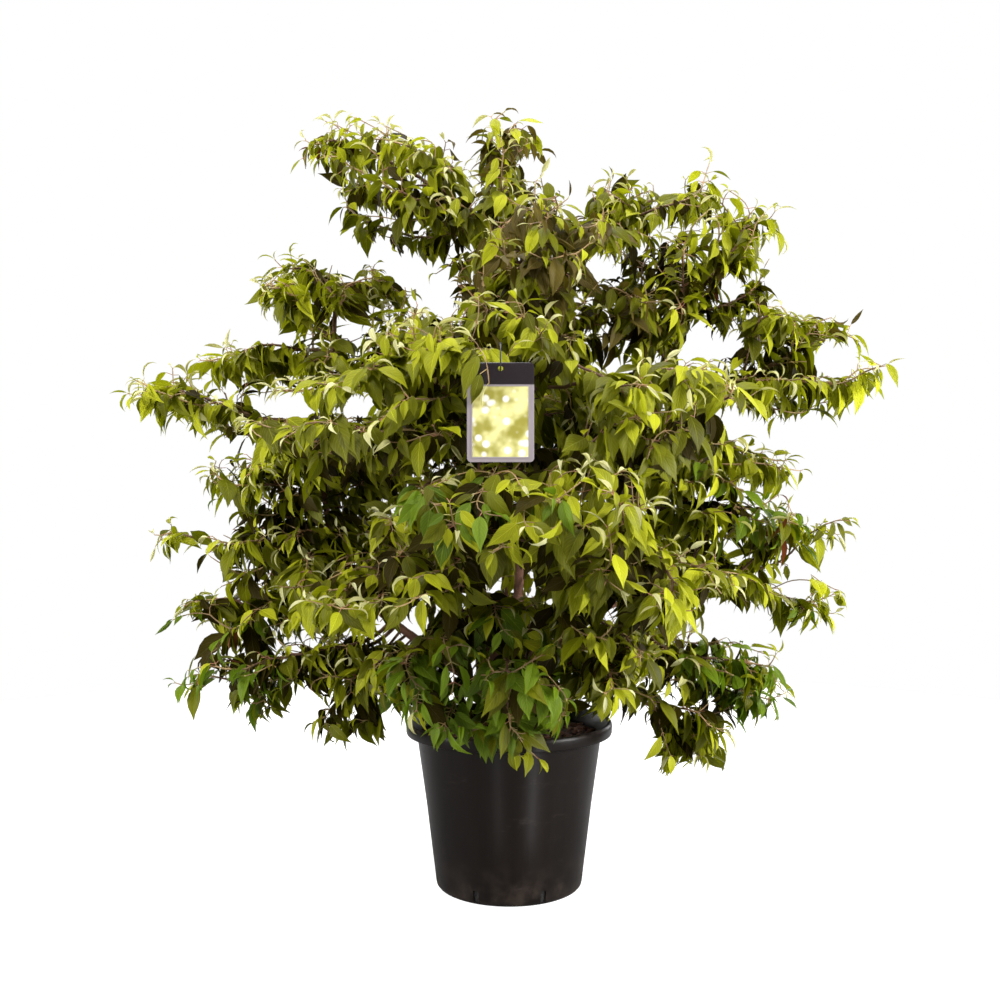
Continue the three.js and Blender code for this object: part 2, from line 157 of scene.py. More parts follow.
class Finish:
    """A material and its nodes."""

    def __init__(self, name):
        self.material = bpy.data.materials.new(name)
        self.material.use_nodes = True
        self.tree = self.material.node_tree
        self.tree.nodes.clear()

    def node(self, kind, settings=None, inputs=None, output=0):
        made = self.tree.nodes.new(kind)
        for key, value in (settings or {}).items():
            setattr(made, key, value)
        for key, value in (inputs or {}).items():
            if isinstance(value, Value):
                self.tree.links.new(value.socket, made.inputs[key])
            else:
                made.inputs[key].default_value = value
        return Value(self, made.outputs[output]) if made.outputs else None

    def place(self):
        return self.node("ShaderNodeTexCoord", output="Object")

    def noise(self, where, scale, detail=3, rough=0.55):
        inputs = {"Vector": where, "Scale": scale, "Detail": detail, "Roughness": rough}
        return self.node("ShaderNodeTexNoise", None, inputs)

    def stretched(self, where, scale):
        return self.node("ShaderNodeMapping", None, {"Vector": where, "Scale": scale})

    def mix(self, share, first, second):
        """A colour between two others."""
        first, second = ((*c, 1) if isinstance(c, tuple) and len(c) == 3 else c for c in (first, second))
        inputs = {0: share, 6: first, 7: second}
        return self.node("ShaderNodeMix", {"data_type": "RGBA"}, inputs, output=2)

    def parts(self, vector):
        """The X, Y and Z of a vector."""
        made = self.node("ShaderNodeSeparateXYZ", None, {0: vector}).socket.node
        return [Value(self, made.outputs[k]) for k in range(3)]

    def bump(self, height, distance, strength=1.0):
        inputs = {"Height": height, "Distance": distance, "Strength": strength}
        return self.node("ShaderNodeBump", None, inputs)

    def surface(self, **inputs):
        named = {key.replace("_", " "): value for key, value in inputs.items()}
        return self.node("ShaderNodeBsdfPrincipled", None, named)

    def done(self, shader):
        self.node("ShaderNodeOutputMaterial", None, {"Surface": shader})
        return self.material


# %% [markdown]
# ## The floor and the air
# The floor is a large pale sheet, and no part of the object. A faint mottling keeps it from looking like an
# empty page close up.


# %% Floor and world
FLOOR_RADIUS = 3.4
FLOOR_GLOW = 0.95  # what the camera alone sees the floor give out, so that it is as white as the world
WORLD_GLOW = 0.07  # of the world's light, as a share of how bright the camera sees it


def pale_floor():
    finish = Finish("pale_floor")
    mottle = finish.noise(finish.place(), 3.0)
    colour = finish.mix(mottle, (0.30, 0.30, 0.30), (0.33, 0.33, 0.33))
    seen_by_camera = finish.node("ShaderNodeLightPath")
    glow = finish.mix(seen_by_camera, (0, 0, 0), (1, 1, 1))
    looks = {"Base_Color": colour, "Roughness": 0.7, "Emission_Color": glow, "Emission_Strength": FLOOR_GLOW}
    return finish.done(finish.surface(**looks))


def white_world(glow):
    world = bpy.data.worlds.new("white_studio")
    world.use_nodes = True
    tree = world.node_tree
    path = tree.nodes.new("ShaderNodeLightPath")
    strength = tree.nodes.new("ShaderNodeMix")
    strength.inputs[2].default_value = glow
    strength.inputs[3].default_value = 1.0
    tree.links.new(path.outputs["Is Camera Ray"], strength.inputs[0])
    background = tree.nodes["Background"]
    background.inputs["Color"].default_value = (1, 1, 1, 1)
    tree.links.new(strength.outputs[0], background.inputs["Strength"])
    bpy.context.scene.world = world


bpy.ops.object.select_all(action="DESELECT")
bpy.ops.mesh.primitive_circle_add(vertices=128, radius=FLOOR_RADIUS, fill_type="NGON")
floor = bpy.context.object
floor.name = "studio_floor"
floor.data.materials.append(pale_floor())
white_world(WORLD_GLOW)
print("floor and world made")

# %% [markdown]
# ## Handing a piece over
# Each finished piece takes the place of one or more solids of the frame and rides on the one body. Its object
# sits at the origin, so the places are all in its mesh.
# Modifiers are set up and applied in one call, and pieces that belong together are joined.


# %% Helpers for every piece
def alone(thing):
    bpy.ops.object.select_all(action="DESELECT")
    thing.select_set(True)
    bpy.context.view_layer.objects.active = thing


def modify(thing, kind, **settings):
    modifier = thing.modifiers.new(kind.lower(), kind)
    for key, value in settings.items():
        setattr(modifier, key, value)
    alone(thing)
    bpy.ops.object.modifier_apply(modifier=modifier.name)


def cut_away(thing, block):
    modify(thing, "BOOLEAN", operation="DIFFERENCE", object=block)
    bpy.data.objects.remove(block)


def roughen(thing, name, size, strength, middle=0.5, depth=2, group=""):
    """Pushes a surface in and out by a cloud pattern."""
    cloud = bpy.data.textures.new(name, "CLOUDS")
    cloud.noise_scale = size
    cloud.noise_depth = depth
    place = {"texture": cloud, "texture_coords": "GLOBAL", "vertex_group": group}
    modify(thing, "DISPLACE", strength=strength, mid_level=middle, **place)


def join_to(keeper, others):
    alone(keeper)
    for other in others:
        other.select_set(True)
    bpy.ops.object.join()


def triangles(thing):
    return sum(len(face.vertices) - 2 for face in thing.data.polygons)


def hand_over(thing, name, nodes):
    alone(thing)
    bpy.ops.object.transform_apply(location=True, rotation=True, scale=True)
    thing.name = name
    thing.data.name = name
    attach(thing, "root")
    if nodes:
        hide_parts(*nodes)
    print(name, triangles(thing), "triangles")


def select_where(thing, kind, rule):
    """Selects only the vertices, edges or faces whose middle passes the rule."""
    bpy.ops.mesh.select_all(action="DESELECT")
    bpy.ops.object.mode_set(mode="OBJECT")
    mesh = thing.data
    for item in getattr(mesh, kind):
        if kind == "vertices":
            middle = item.co
        else:
            middle = sum((mesh.vertices[v].co for v in item.vertices), Vector()) / len(item.vertices)
        item.select = bool(rule(middle))
    bpy.ops.object.mode_set(mode="EDIT")


# %% [markdown]
# ## The pot
# Nursery pots are injection moulded: a thin wall that widens upwards so that pots stack, a flat foot with a
# soft edge, drain slots where wall and floor meet, and a rim folded outwards and down to stiffen it. The
# wall is drawn up from the foot's circle, ring by ring, over the rim and back down inside, as a potter
# would pull it. A profile turned by one spin would do as well, but rings are easier to nudge.

# %% The pot's wall
POT_FOOT = 0.163
# ring by ring: radius and height, up the outside, over the rim and down the inside
POT_RINGS = [
    (0.1670, 0.0006), (0.1712, 0.0028), (0.1751, 0.0072), (0.1768, 0.0140), (0.1800, 0.0400),
    (0.1998, 0.2000), (0.2226, 0.3600), (0.2236, 0.3640), (0.2440, 0.3672), (0.2478, 0.3690),
    (0.2492, 0.3725), (0.2499, 0.3890), (0.2488, 0.3945), (0.2458, 0.3974), (0.2420, 0.3980),
    (0.2385, 0.3966), (0.2365, 0.3930), (0.2340, 0.3850), (0.2185, 0.3690), (0.1725, 0.0060),
]
POT_SIDES = 120
FOOT_HOLLOW = 0.0025  # how far the middle of the underside is pulled up off the floor
NEAR = 0.001  # places closer than this count as the same

alone(floor)
bpy.ops.mesh.primitive_circle_add(vertices=POT_SIDES, radius=POT_FOOT, fill_type="NOTHING")
pot = bpy.context.object
bpy.ops.object.mode_set(mode="EDIT")
ring_radius, ring_height = POT_FOOT, 0.0
for radius, height in POT_RINGS:
    bpy.ops.mesh.extrude_region_move(TRANSFORM_OT_translate={"value": (0, 0, height - ring_height)})
    bpy.ops.transform.resize(value=(radius / ring_radius, radius / ring_radius, 1))
    ring_radius, ring_height = radius, height
bpy.ops.mesh.edge_face_add()
select_where(pot, "vertices", lambda at: at.z < NEAR / 10 and at.xy.length < POT_FOOT + NEAR)
bpy.ops.mesh.edge_face_add()
bpy.ops.mesh.inset(thickness=0.012)
bpy.ops.mesh.inset(thickness=0.004)
bpy.ops.transform.translate(value=(0, 0, FOOT_HOLLOW))
bpy.ops.mesh.select_all(action="SELECT")
bpy.ops.mesh.normals_make_consistent(inside=False)
bpy.ops.object.mode_set(mode="OBJECT")
print("pot wall", len(pot.data.polygons), "faces")

# %% [markdown]
# The drain slots are cut with blocks, as the mould's own pins leave them: seven upright slots round the
# foot.

# %% Drain slots
SLOT_COUNT = 7
SLOT_SIZE = (0.040, 0.014, 0.028)
SLOT_RADIUS = 0.177
SLOT_HEIGHT = 0.021  # of the slots' middles

for k in range(SLOT_COUNT):
    turn = math.radians(90 + k * 360 / SLOT_COUNT)
    bpy.ops.object.select_all(action="DESELECT")
    place = (SLOT_RADIUS * math.cos(turn), SLOT_RADIUS * math.sin(turn), SLOT_HEIGHT)
    bpy.ops.mesh.primitive_cube_add(size=1, location=place, rotation=(0, 0, turn), scale=SLOT_SIZE)
    block = bpy.context.object
    modify(block, "BEVEL", width=0.003, segments=2)
    cut_away(pot, block)
print("pot with slots", len(pot.data.polygons), "faces")


# %% [markdown]
# Black nursery plastic is recycled and never quite black: a warm dark grey, satin, with faint upright
# streaks from the mould, pale scuffs where pots have rubbed together and a little dust near the foot.


# %% The pot's finish
def pot_plastic():
    finish = Finish("nursery_plastic")
    where = finish.place()
    height = finish.parts(where)[2]
    streaks = finish.noise(finish.stretched(where, (30, 30, 1.2)), 1.0, 4)
    scuffs = finish.noise(finish.stretched(where, (9, 9, 34)), 1.0, 6, 0.7).between(0.6, 0.78)
    dust = height.between(0.12, 0.0) * finish.noise(where, 22, 4).between(0.35, 0.8)
    rim_wear = height.between(0.385, 0.397) * finish.noise(where, 60, 3).between(0.4, 0.7)
    grain = finish.noise(where, 900, 2)
    colour = finish.mix(streaks, (0.0028, 0.0018, 0.0014), (0.0070, 0.0046, 0.0036))
    colour = finish.mix(scuffs * 0.35, colour, (0.060, 0.050, 0.043))
    colour = finish.mix(dust * 0.3 + rim_wear * 0.25, colour, (0.080, 0.058, 0.044))
    roughness = 0.29 + streaks * 0.08 + scuffs * 0.2 + dust * 0.2
    relief = finish.bump(grain * 0.35 + streaks * 1.5, 0.0004, 0.5)
    shader = finish.surface(Base_Color=colour, Roughness=roughness, Normal=relief, Specular_IOR_Level=0.12)
    return finish.done(shader)


alone(pot)
bpy.ops.object.shade_smooth_by_angle(angle=math.radians(35))
pot.data.materials.append(pot_plastic())
hand_over(pot, "nursery_pot", ["pot"])

# %% [markdown]
# ## The compost
# Potting compost for woody plants is dark peat with shreds of reddish bark on top. Its body is a disc with
# a deep edge, inset ring by ring. The top is divided finely and pushed up and down by a cloud pattern, for
# the crumbs.

# %% The body of the compost
COMPOST_LOW = 0.0055
COMPOST_EDGE = 0.364
COMPOST_MIDDLE = 0.3705
COMPOST_RADIUS = 0.2168
COMPOST_FOOT = 0.1715
COMPOST_INSETS = 12
INSET_SHARE = 0.076  # of the radius
CRUMB_RADIUS = 0.212  # the crumbs stop here, clear of the pot's wall

alone(floor)
foot_place = (0, 0, COMPOST_LOW)
bpy.ops.mesh.primitive_circle_add(vertices=96, radius=COMPOST_FOOT, fill_type="NGON", location=foot_place)
compost = bpy.context.object
bpy.ops.object.mode_set(mode="EDIT")
bpy.ops.mesh.extrude_region_move(TRANSFORM_OT_translate={"value": (0, 0, COMPOST_EDGE - COMPOST_LOW)})
spread = COMPOST_RADIUS / COMPOST_FOOT
bpy.ops.transform.resize(value=(spread, spread, 1))
for _ in range(COMPOST_INSETS):
    bpy.ops.mesh.inset(thickness=COMPOST_RADIUS * INSET_SHARE)
    bpy.ops.transform.translate(value=(0, 0, (COMPOST_MIDDLE - COMPOST_EDGE) / COMPOST_INSETS))
select_where(compost, "polygons", lambda at: at.z > COMPOST_EDGE - NEAR)
bpy.ops.mesh.subdivide(number_cuts=2)
bpy.ops.mesh.select_all(action="SELECT")
bpy.ops.mesh.normals_make_consistent(inside=False)
bpy.ops.object.mode_set(mode="OBJECT")

points = compost.data.vertices
top = [v.index for v in points if v.co.z > COMPOST_EDGE / 2 and v.co.xy.length < CRUMB_RADIUS]
compost.vertex_groups.new(name="top").add(top, 1.0, "REPLACE")
roughen(compost, "crumbs", 0.012, 0.009, 0.6, 3, "top")
print("compost", len(compost.data.polygons), "faces")


# %% The compost's finish
def peat():
    finish = Finish("peat_and_bark")
    where = finish.place()
    crumb = finish.noise(where, 160, 5, 0.7)
    height = finish.parts(where)[2]
    lumps = finish.node("ShaderNodeTexVoronoi", None, {"Vector": where, "Scale": 110.0})
    red = finish.noise(where, 45, 3).between(0.55, 0.7)
    colour = finish.mix(crumb, (0.018, 0.009, 0.006), (0.085, 0.036, 0.022))
    colour = finish.mix(red * 0.5, colour, (0.160, 0.048, 0.022))
    # painted shade: below the rim's height the compost is near black, as the inside of the pot is in shade
    # where it shows through the drain slots
    colour = finish.mix(height.between(0.30, 0.35), (0.006, 0.005, 0.004), colour)
    relief = finish.bump(crumb + lumps, 0.004)
    return finish.done(finish.surface(Base_Color=colour, Roughness=0.93, Normal=relief))


def shred_bark():
    finish = Finish("shredded_bark")
    where = finish.place()
    grain = finish.noise(finish.stretched(where, (90, 400, 90)), 1.0, 4)
    tint = finish.noise(where, 30, 2)
    colour = finish.mix(grain, (0.050, 0.020, 0.012), (0.210, 0.082, 0.042))
    colour = finish.mix(tint.between(0.5, 0.7) * 0.5, colour, (0.260, 0.080, 0.036))
    return finish.done(finish.surface(Base_Color=colour, Roughness=0.85, Normal=finish.bump(grain, 0.001)))


compost.data.materials.append(peat())
hand_over(compost, "compost_bed", ["compost"])


# %% [markdown]
# ## A mesh out of arrays
# Shreds, twigs and leaves come by the hundred and thousand. Each of them is worked out once, and every
# copy's corners are laid end to end in one array, which becomes one mesh. That is far quicker than joining
# objects.


# %% Joined meshes
def joined_mesh(name, corners, faces, material, uv=None):
    """corners: (N, 3). faces: a list of (M, 3) or (M, 4) arrays. uv: a pair for each face corner."""
    mesh = bpy.data.meshes.new(name)
    loops = np.concatenate([f.ravel() for f in faces]).astype(np.int32)
    sizes = np.concatenate([np.full(len(f), f.shape[1]) for f in faces]).astype(np.int32)
    starts = np.concatenate([[0], np.cumsum(sizes)[:-1]]).astype(np.int32)
    mesh.vertices.add(len(corners))
    mesh.vertices.foreach_set("co", np.asarray(corners, np.float32).ravel())
    mesh.loops.add(len(loops))
    mesh.loops.foreach_set("vertex_index", loops)
    mesh.polygons.add(len(sizes))
    mesh.polygons.foreach_set("loop_start", starts)
    mesh.polygons.foreach_set("loop_total", sizes)
    mesh.polygons.foreach_set("use_smooth", np.ones(len(sizes), bool))
    if uv is not None:
        layer = mesh.uv_layers.new(name="OFBake")
        layer.data.foreach_set("uv", np.asarray(uv, np.float32).ravel())
    mesh.update(calc_edges=True)
    mesh.validate()
    mesh.materials.append(material)
    return put_in_scene(name, mesh)


def copied_faces(faces, copies, corners_each):
    """The faces of one shape, once for each of its copies."""
    return (faces[None] + (np.arange(copies) * corners_each)[:, None, None]).reshape(-1, faces.shape[1])


def unit(rows):
    rows = np.asarray(rows, float)
    return rows / np.maximum(np.linalg.norm(rows, axis=-1, keepdims=True), 1e-9)


# %% [markdown]
# A few hundred shreds of bark lie on the compost. Each is a small wedge, bent up in the middle.

# %% Shreds of bark on the compost
SHRED_COUNT = 420
SHRED_REACH = (0.052, 0.152)  # from the pot's middle: the least, and how much further at most
# a shred, one unit long: the corners of its upper side, then of its lower side
SHRED = np.array([
    (-0.5, -0.12, 0), (-0.5, 0.10, 0.02), (0, -0.17, 0.1),
    (0, 0.15, 0.12), (0.5, -0.07, 0), (0.5, 0.08, 0.03),
    (-0.5, -0.12, -0.06), (-0.5, 0.10, -0.04), (0, -0.17, 0.02),
    (0, 0.15, 0.04), (0.5, -0.07, -0.06), (0.5, 0.08, -0.03),
])
SHRED_FACES = np.array([
    (0, 2, 3, 1), (2, 4, 5, 3), (6, 7, 9, 8), (8, 9, 11, 10), (0, 6, 8, 2), (2, 8, 10, 4), (1, 3, 9, 7),
    (3, 5, 11, 9), (0, 1, 7, 6), (4, 10, 11, 5),
])

turns = chance.uniform(0, 2 * math.pi, SHRED_COUNT)
reach = SHRED_REACH[0] + SHRED_REACH[1] * np.sqrt(chance.uniform(0, 1, SHRED_COUNT))
spin = chance.uniform(0, 2 * math.pi, SHRED_COUNT)
lengths = chance.uniform(0.010, 0.034, SHRED_COUNT)
tilt = chance.normal(0, 0.25, (SHRED_COUNT, 2))
along = unit(np.stack([np.cos(spin), np.sin(spin), tilt[:, 0]], 1))
above = unit(np.stack([tilt[:, 1], tilt[:, 0], np.ones(SHRED_COUNT)], 1))
aside = unit(np.cross(above, along))
above = np.cross(along, aside)
rest_height = COMPOST_MIDDLE + NEAR - (COMPOST_MIDDLE - COMPOST_EDGE) * (reach / COMPOST_RADIUS)
middles = np.stack([reach * np.cos(turns), reach * np.sin(turns), rest_height], 1)
axes = np.stack([along, aside, above], 1)
corners = middles[:, None] + lengths[:, None, None] * np.einsum("vk,nkc->nvc", SHRED, axes)
faces = copied_faces(SHRED_FACES, SHRED_COUNT, len(SHRED))
shreds = joined_mesh("bark_shreds", corners.reshape(-1, 3), [faces], shred_bark())
hand_over(shreds, "bark_shreds", [])

# %% [markdown]
# ## The limbs
# The shrub's wood starts as one short stem with a flared foot, which divides at once into five long stems,
# and side boughs fork from these. The frame has each limb as a plain tapered solid. Its middle line is read
# off by slicing the solid across, and a round curve is run through those middles, as thick as the slices.
# All limbs are then melted into one skin, so the forks flow into each other as grown wood does, and the
# skin gets its relief.

# %% The middle line of a limb
LIMB_NODES = [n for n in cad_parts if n.startswith(("stem_", "bough_"))]
STEM_SLICES = 14
BOUGH_SLICES = 8
FLAT_SIDES = 1.06  # the solids' flat sides lie this much nearer than a round limb's skin would


def corners_of(node):
    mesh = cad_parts[node].data
    mesh.calc_loop_triangles()
    places = np.array([v.co for v in mesh.vertices])
    return places[np.array([t.vertices for t in mesh.loop_triangles])]


def slice_across(corners, middle, axis):
    """Where the edges of a solid's triangles cross the plane through middle, square to axis."""
    beyond = (corners - middle) @ axis
    found = []
    for a, b in ((0, 1), (1, 2), (2, 0)):
        crossed = beyond[:, a] * beyond[:, b] < 0
        share = beyond[crossed, a] / (beyond[crossed, a] - beyond[crossed, b])
        found.append(corners[crossed, a] + share[:, None] * (corners[crossed, b] - corners[crossed, a]))
    return np.concatenate(found)


def middle_line(node, slices):
    """The limb's middle points from its foot to its tip, and its radius at each."""
    corners = corners_of(node)
    points = corners.reshape(-1, 3)
    one = points[np.argmax(np.linalg.norm(points - points.mean(0), axis=1))]
    other = points[np.argmax(np.linalg.norm(points - one, axis=1))]
    axis = unit(other - one)
    length = (other - one) @ axis
    rings = [slice_across(corners, one + axis * length * s, axis) for s in np.linspace(0.03, 0.97, slices)]
    middles = np.array([ring.mean(0) for ring in rings])
    heading = unit(np.gradient(middles, axis=0))
    radii = []
    for ring, middle, way in zip(rings, middles, heading):
        out = ring - middle
        out = out - np.outer(out @ way, way)
        radii.append(np.linalg.norm(out, axis=1).mean() * FLAT_SIDES)
    if radii[0] < radii[-1]:
        middles, radii = middles[::-1], radii[::-1]
    return middles, np.array(radii)


limb_lines = {}
for node in LIMB_NODES:
    limb_lines[node] = middle_line(node, STEM_SLICES if node.startswith("stem_") else BOUGH_SLICES)
thickest = max(radii.max() for _, radii in limb_lines.values())
print(len(limb_lines), "limbs, the thickest", round(thickest * 2000), "mm across")

# %% Round curves through the middle lines
SUNK_FOOT = 0.018  # how far a limb's foot runs back into its parent


def limb_curve(node):
    middles, radii = limb_lines[node]
    back = middles[0] - unit(middles[1] - middles[0]) * SUNK_FOOT
    points = np.vstack([back, middles])
    widths = np.concatenate([[radii[0]], radii])
    data = bpy.data.curves.new(node, "CURVE")
    data.dimensions = "3D"
    data.bevel_depth = 1.0
    data.bevel_resolution = 3
    data.resolution_u = 4
    data.use_fill_caps = True
    spline = data.splines.new("NURBS")
    spline.points.add(len(points) - 1)
    for point, place, width in zip(spline.points, points, widths):
        point.co = (*place, 1)
        point.radius = width
    spline.order_u = 3
    spline.use_endpoint_u = True
    alone(put_in_scene(node + "_curve", data))
    bpy.ops.object.convert(target="MESH")
    return bpy.context.object


limb_meshes = [limb_curve(node) for node in LIMB_NODES]
print(len(limb_meshes), "limb tubes")

# %% The short main stem
STEM_FOOT_HEIGHT = 0.3685
STEM_TOP = (0.014, 0.008, 0.524)
FLARE_ROOTS = 5
# share of the height, radius, how strongly the roots stand out
STEM_RINGS = [
    (0.00, 0.056, 0.22), (0.06, 0.049, 0.20), (0.14, 0.042, 0.15), (0.28, 0.0365, 0.09), (0.50, 0.0325, 0.05),
    (0.75, 0.0300, 0.03), (1.00, 0.0270, 0.00),
]

alone(floor)
bpy.ops.mesh.primitive_circle_add(vertices=40, radius=1.0, fill_type="NGON", location=(0, 0, 0))
main_stem = bpy.context.object
bpy.ops.object.mode_set(mode="EDIT")
for _ in range(len(STEM_RINGS) - 1):
    bpy.ops.mesh.extrude_region_move(TRANSFORM_OT_translate={"value": (0, 0, 1)})
bpy.ops.mesh.select_all(action="SELECT")
bpy.ops.mesh.normals_make_consistent(inside=False)
bpy.ops.object.mode_set(mode="OBJECT")
rise = STEM_TOP[2] - STEM_FOOT_HEIGHT
for vertex in main_stem.data.vertices:
    share, radius, ribs = STEM_RINGS[round(vertex.co.z)]
    angle = math.atan2(vertex.co.y, vertex.co.x)
    width = radius * (1 + ribs * math.cos(FLARE_ROOTS * angle)) * vertex.co.xy.length
    vertex.co = (
        width * math.cos(angle) + STEM_TOP[0] * share,
        width * math.sin(angle) + STEM_TOP[1] * share,
        STEM_FOOT_HEIGHT + rise * share,
    )
print("main stem", len(main_stem.data.vertices), "points")

# %% [markdown]
# The voxel remesh turns the crossing tubes into one skin. Two cloud patterns follow: a slow one for the
# swellings that every stem has, and a finer one for the cracked, flaking skin of older wood.

# %% One skin for all the wood
join_to(main_stem, limb_meshes)
modify(main_stem, "REMESH", mode="VOXEL", voxel_size=0.0034)
roughen(main_stem, "swellings", 0.035, 0.0030)
roughen(main_stem, "flakes", 0.006, 0.0016)
modify(main_stem, "SMOOTH", factor=0.4, iterations=1)
bpy.ops.object.shade_smooth()
print("one skin of", triangles(main_stem), "triangles")


# %% The bark's finish
def bark():
    finish = Finish("reddish_bark")
    where = finish.place()
    fine = finish.noise(finish.stretched(where, (1, 1, 0.35)), 320, 5, 0.65)
    broad = finish.noise(where, 26, 3)
    pitting = {"Vector": finish.stretched(where, (1, 1, 1.8)), "Scale": 150.0}
    pores = 1 - finish.node("ShaderNodeTexVoronoi", None, pitting).between(0.12, 0.3)
    colour = finish.mix(fine, (0.050, 0.020, 0.010), (0.190, 0.082, 0.042))
    colour = finish.mix(broad.between(0.42, 0.62) * 0.6, colour, (0.210, 0.098, 0.060))
    colour = finish.mix(pores * 0.4, colour, (0.290, 0.180, 0.110))
    relief = finish.bump(fine + pores * 0.5, 0.0012)
    return finish.done(finish.surface(Base_Color=colour, Roughness=0.82, Normal=relief))


main_stem.data.materials.append(bark())
hand_over(main_stem, "bark_skin", ["main_stem", *LIMB_NODES])

# %% [markdown]
# ## Where the leaves may be
# The frame's masses say how far the foliage reaches. Small tufts stand out of them: over the pot's rim,
# beside the label, at the tips, and between tiers that hang together.

# %% Masses and tufts
MASS_NODES = [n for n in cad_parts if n.startswith("leaves_")]


def surface_tree(node):
    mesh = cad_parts[node].data
    return BVHTree.FromPolygons([v.co for v in mesh.vertices], [tuple(p.vertices) for p in mesh.polygons])


masses = [(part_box(node), surface_tree(node)) for node in MASS_NODES]
# small tufts that stand out of the masses: place and radius
TUFTS = [(Vector(place), radius) for *place, radius in (
    (0.000, -0.285, 0.430, 0.036), (0.015, -0.305, 0.392, 0.030), (0.030, -0.315, 0.358, 0.026),
    (-0.100, -0.290, 0.440, 0.040), (0.105, -0.290, 0.440, 0.040), (-0.215, -0.140, 0.450, 0.040),
    (0.235, -0.115, 0.450, 0.040), (-0.070, -0.628, 1.190, 0.026), (-0.066, -0.638, 1.158, 0.022),
    (-0.470, 0.000, 1.820, 0.045), (-0.170, 0.000, 1.790, 0.045), (-0.170, 0.000, 1.560, 0.050),
    (-0.290, 0.000, 1.620, 0.040), (0.055, 0.000, 1.790, 0.040), (-0.055, 0.000, 1.825, 0.030),
    (0.470, 0.000, 1.715, 0.045), (0.260, 0.000, 1.705, 0.025), (0.620, 0.000, 1.480, 0.050),
    (0.610, 0.000, 1.430, 0.035), (0.280, -0.050, 1.410, 0.050), (0.720, 0.000, 0.665, 0.050),
    (0.770, 0.000, 0.665, 0.036), (-0.750, 0.000, 0.690, 0.050), (0.480, -0.050, 0.445, 0.050),
    (0.470, -0.050, 0.385, 0.040), (0.445, -0.050, 0.335, 0.022), (0.400, -0.050, 1.575, 0.055),
    (0.345, -0.050, 1.545, 0.045), (0.710, 0.000, 1.158, 0.034), (0.560, 0.000, 1.035, 0.050),
    (0.555, 0.000, 0.960, 0.045), (0.625, 0.000, 0.905, 0.040), (-0.555, 0.000, 1.500, 0.036),
    (-0.765, 0.000, 0.485, 0.040), (-0.600, 0.000, 0.450, 0.050), (0.000, 0.060, 0.715, 0.065),
    (0.270, 0.000, 0.615, 0.045), (-0.720, 0.000, 1.268, 0.045), (0.734, 0.000, 1.350, 0.040),
    (-0.705, 0.000, 1.005, 0.045), (0.650, 0.000, 1.045, 0.040), (0.595, 0.000, 0.925, 0.050),
    (0.050, 0.030, 0.735, 0.060), (-0.640, 0.000, 0.712, 0.045), (-0.585, 0.000, 0.566, 0.050),
    (0.640, 0.000, 0.425, 0.035),
)]
print(len(masses), "masses,", len(TUFTS), "tufts")

# %% [markdown]
# A point is inside a mass if the nearest place on that mass's surface faces away from it, and a slow wobble
# of the point makes the edge uneven. How open a point lies is the share of steps, taken from it in many
# directions, that come out of every mass: a spray of leaves near the outside is packed closer and catches
# more light than one deep in the crown.

# %% Inside, outside, and how open
WOBBLE = 0.030  # how far the edge of the foliage strays from the plain solids
WOBBLE_SCALE = 9.0
PROBE_REACH = 0.085
# the six ways along the axes, then the eight between them
PROBES = [Vector(way).normalized() * PROBE_REACH for way in (
    (1, 0, 0), (-1, 0, 0), (0, 1, 0), (0, -1, 0), (0, 0, 1), (0, 0, -1),
    (1, 1, 1), (-1, 1, 1), (1, -1, 1), (1, 1, -1), (-1, -1, 1), (-1, 1, -1), (1, -1, -1), (-1, -1, -1),
)]
SKY_PROBES = [Vector(way) for way in (
    (0, 0, 0.11), (0, 0, 0.06), (0, -0.06, 0.10), (0.07, 0, 0.09), (-0.07, 0, 0.09), (0, 0.07, 0.09),
)]


def in_foliage(point, outside=0.0):
    """Whether a point lies in a mass, or no more than the given distance outside one."""
    point = point + noise.noise_vector(point * WOBBLE_SCALE) * WOBBLE
    for (low, high), tree in masses:
        if all(low[k] - outside < point[k] < high[k] + outside for k in range(3)):
            place, normal, _, _ = tree.find_nearest(point)
            if (point - place).dot(normal) < 0 or (point - place).length < outside:
                return True
    return any((point - middle).length < radius + outside for middle, radius in TUFTS)


def openness(point, probes=PROBES):
    """The share of the steps from a point that come out of the foliage."""
    return sum(not in_foliage(point + probe) for probe in probes) / len(probes)


# %% [markdown]
# ## Gaps in the crown
# Light shines through the shrub in many places, and the eye knows the plant by them. Each gap is named by
# its place and size on the upright plane through the stem, as seen from the front, and holds along the line
# of sight. A hollow is like it, but is open at the front only, so that the dark inside of the crown shows
# in it.

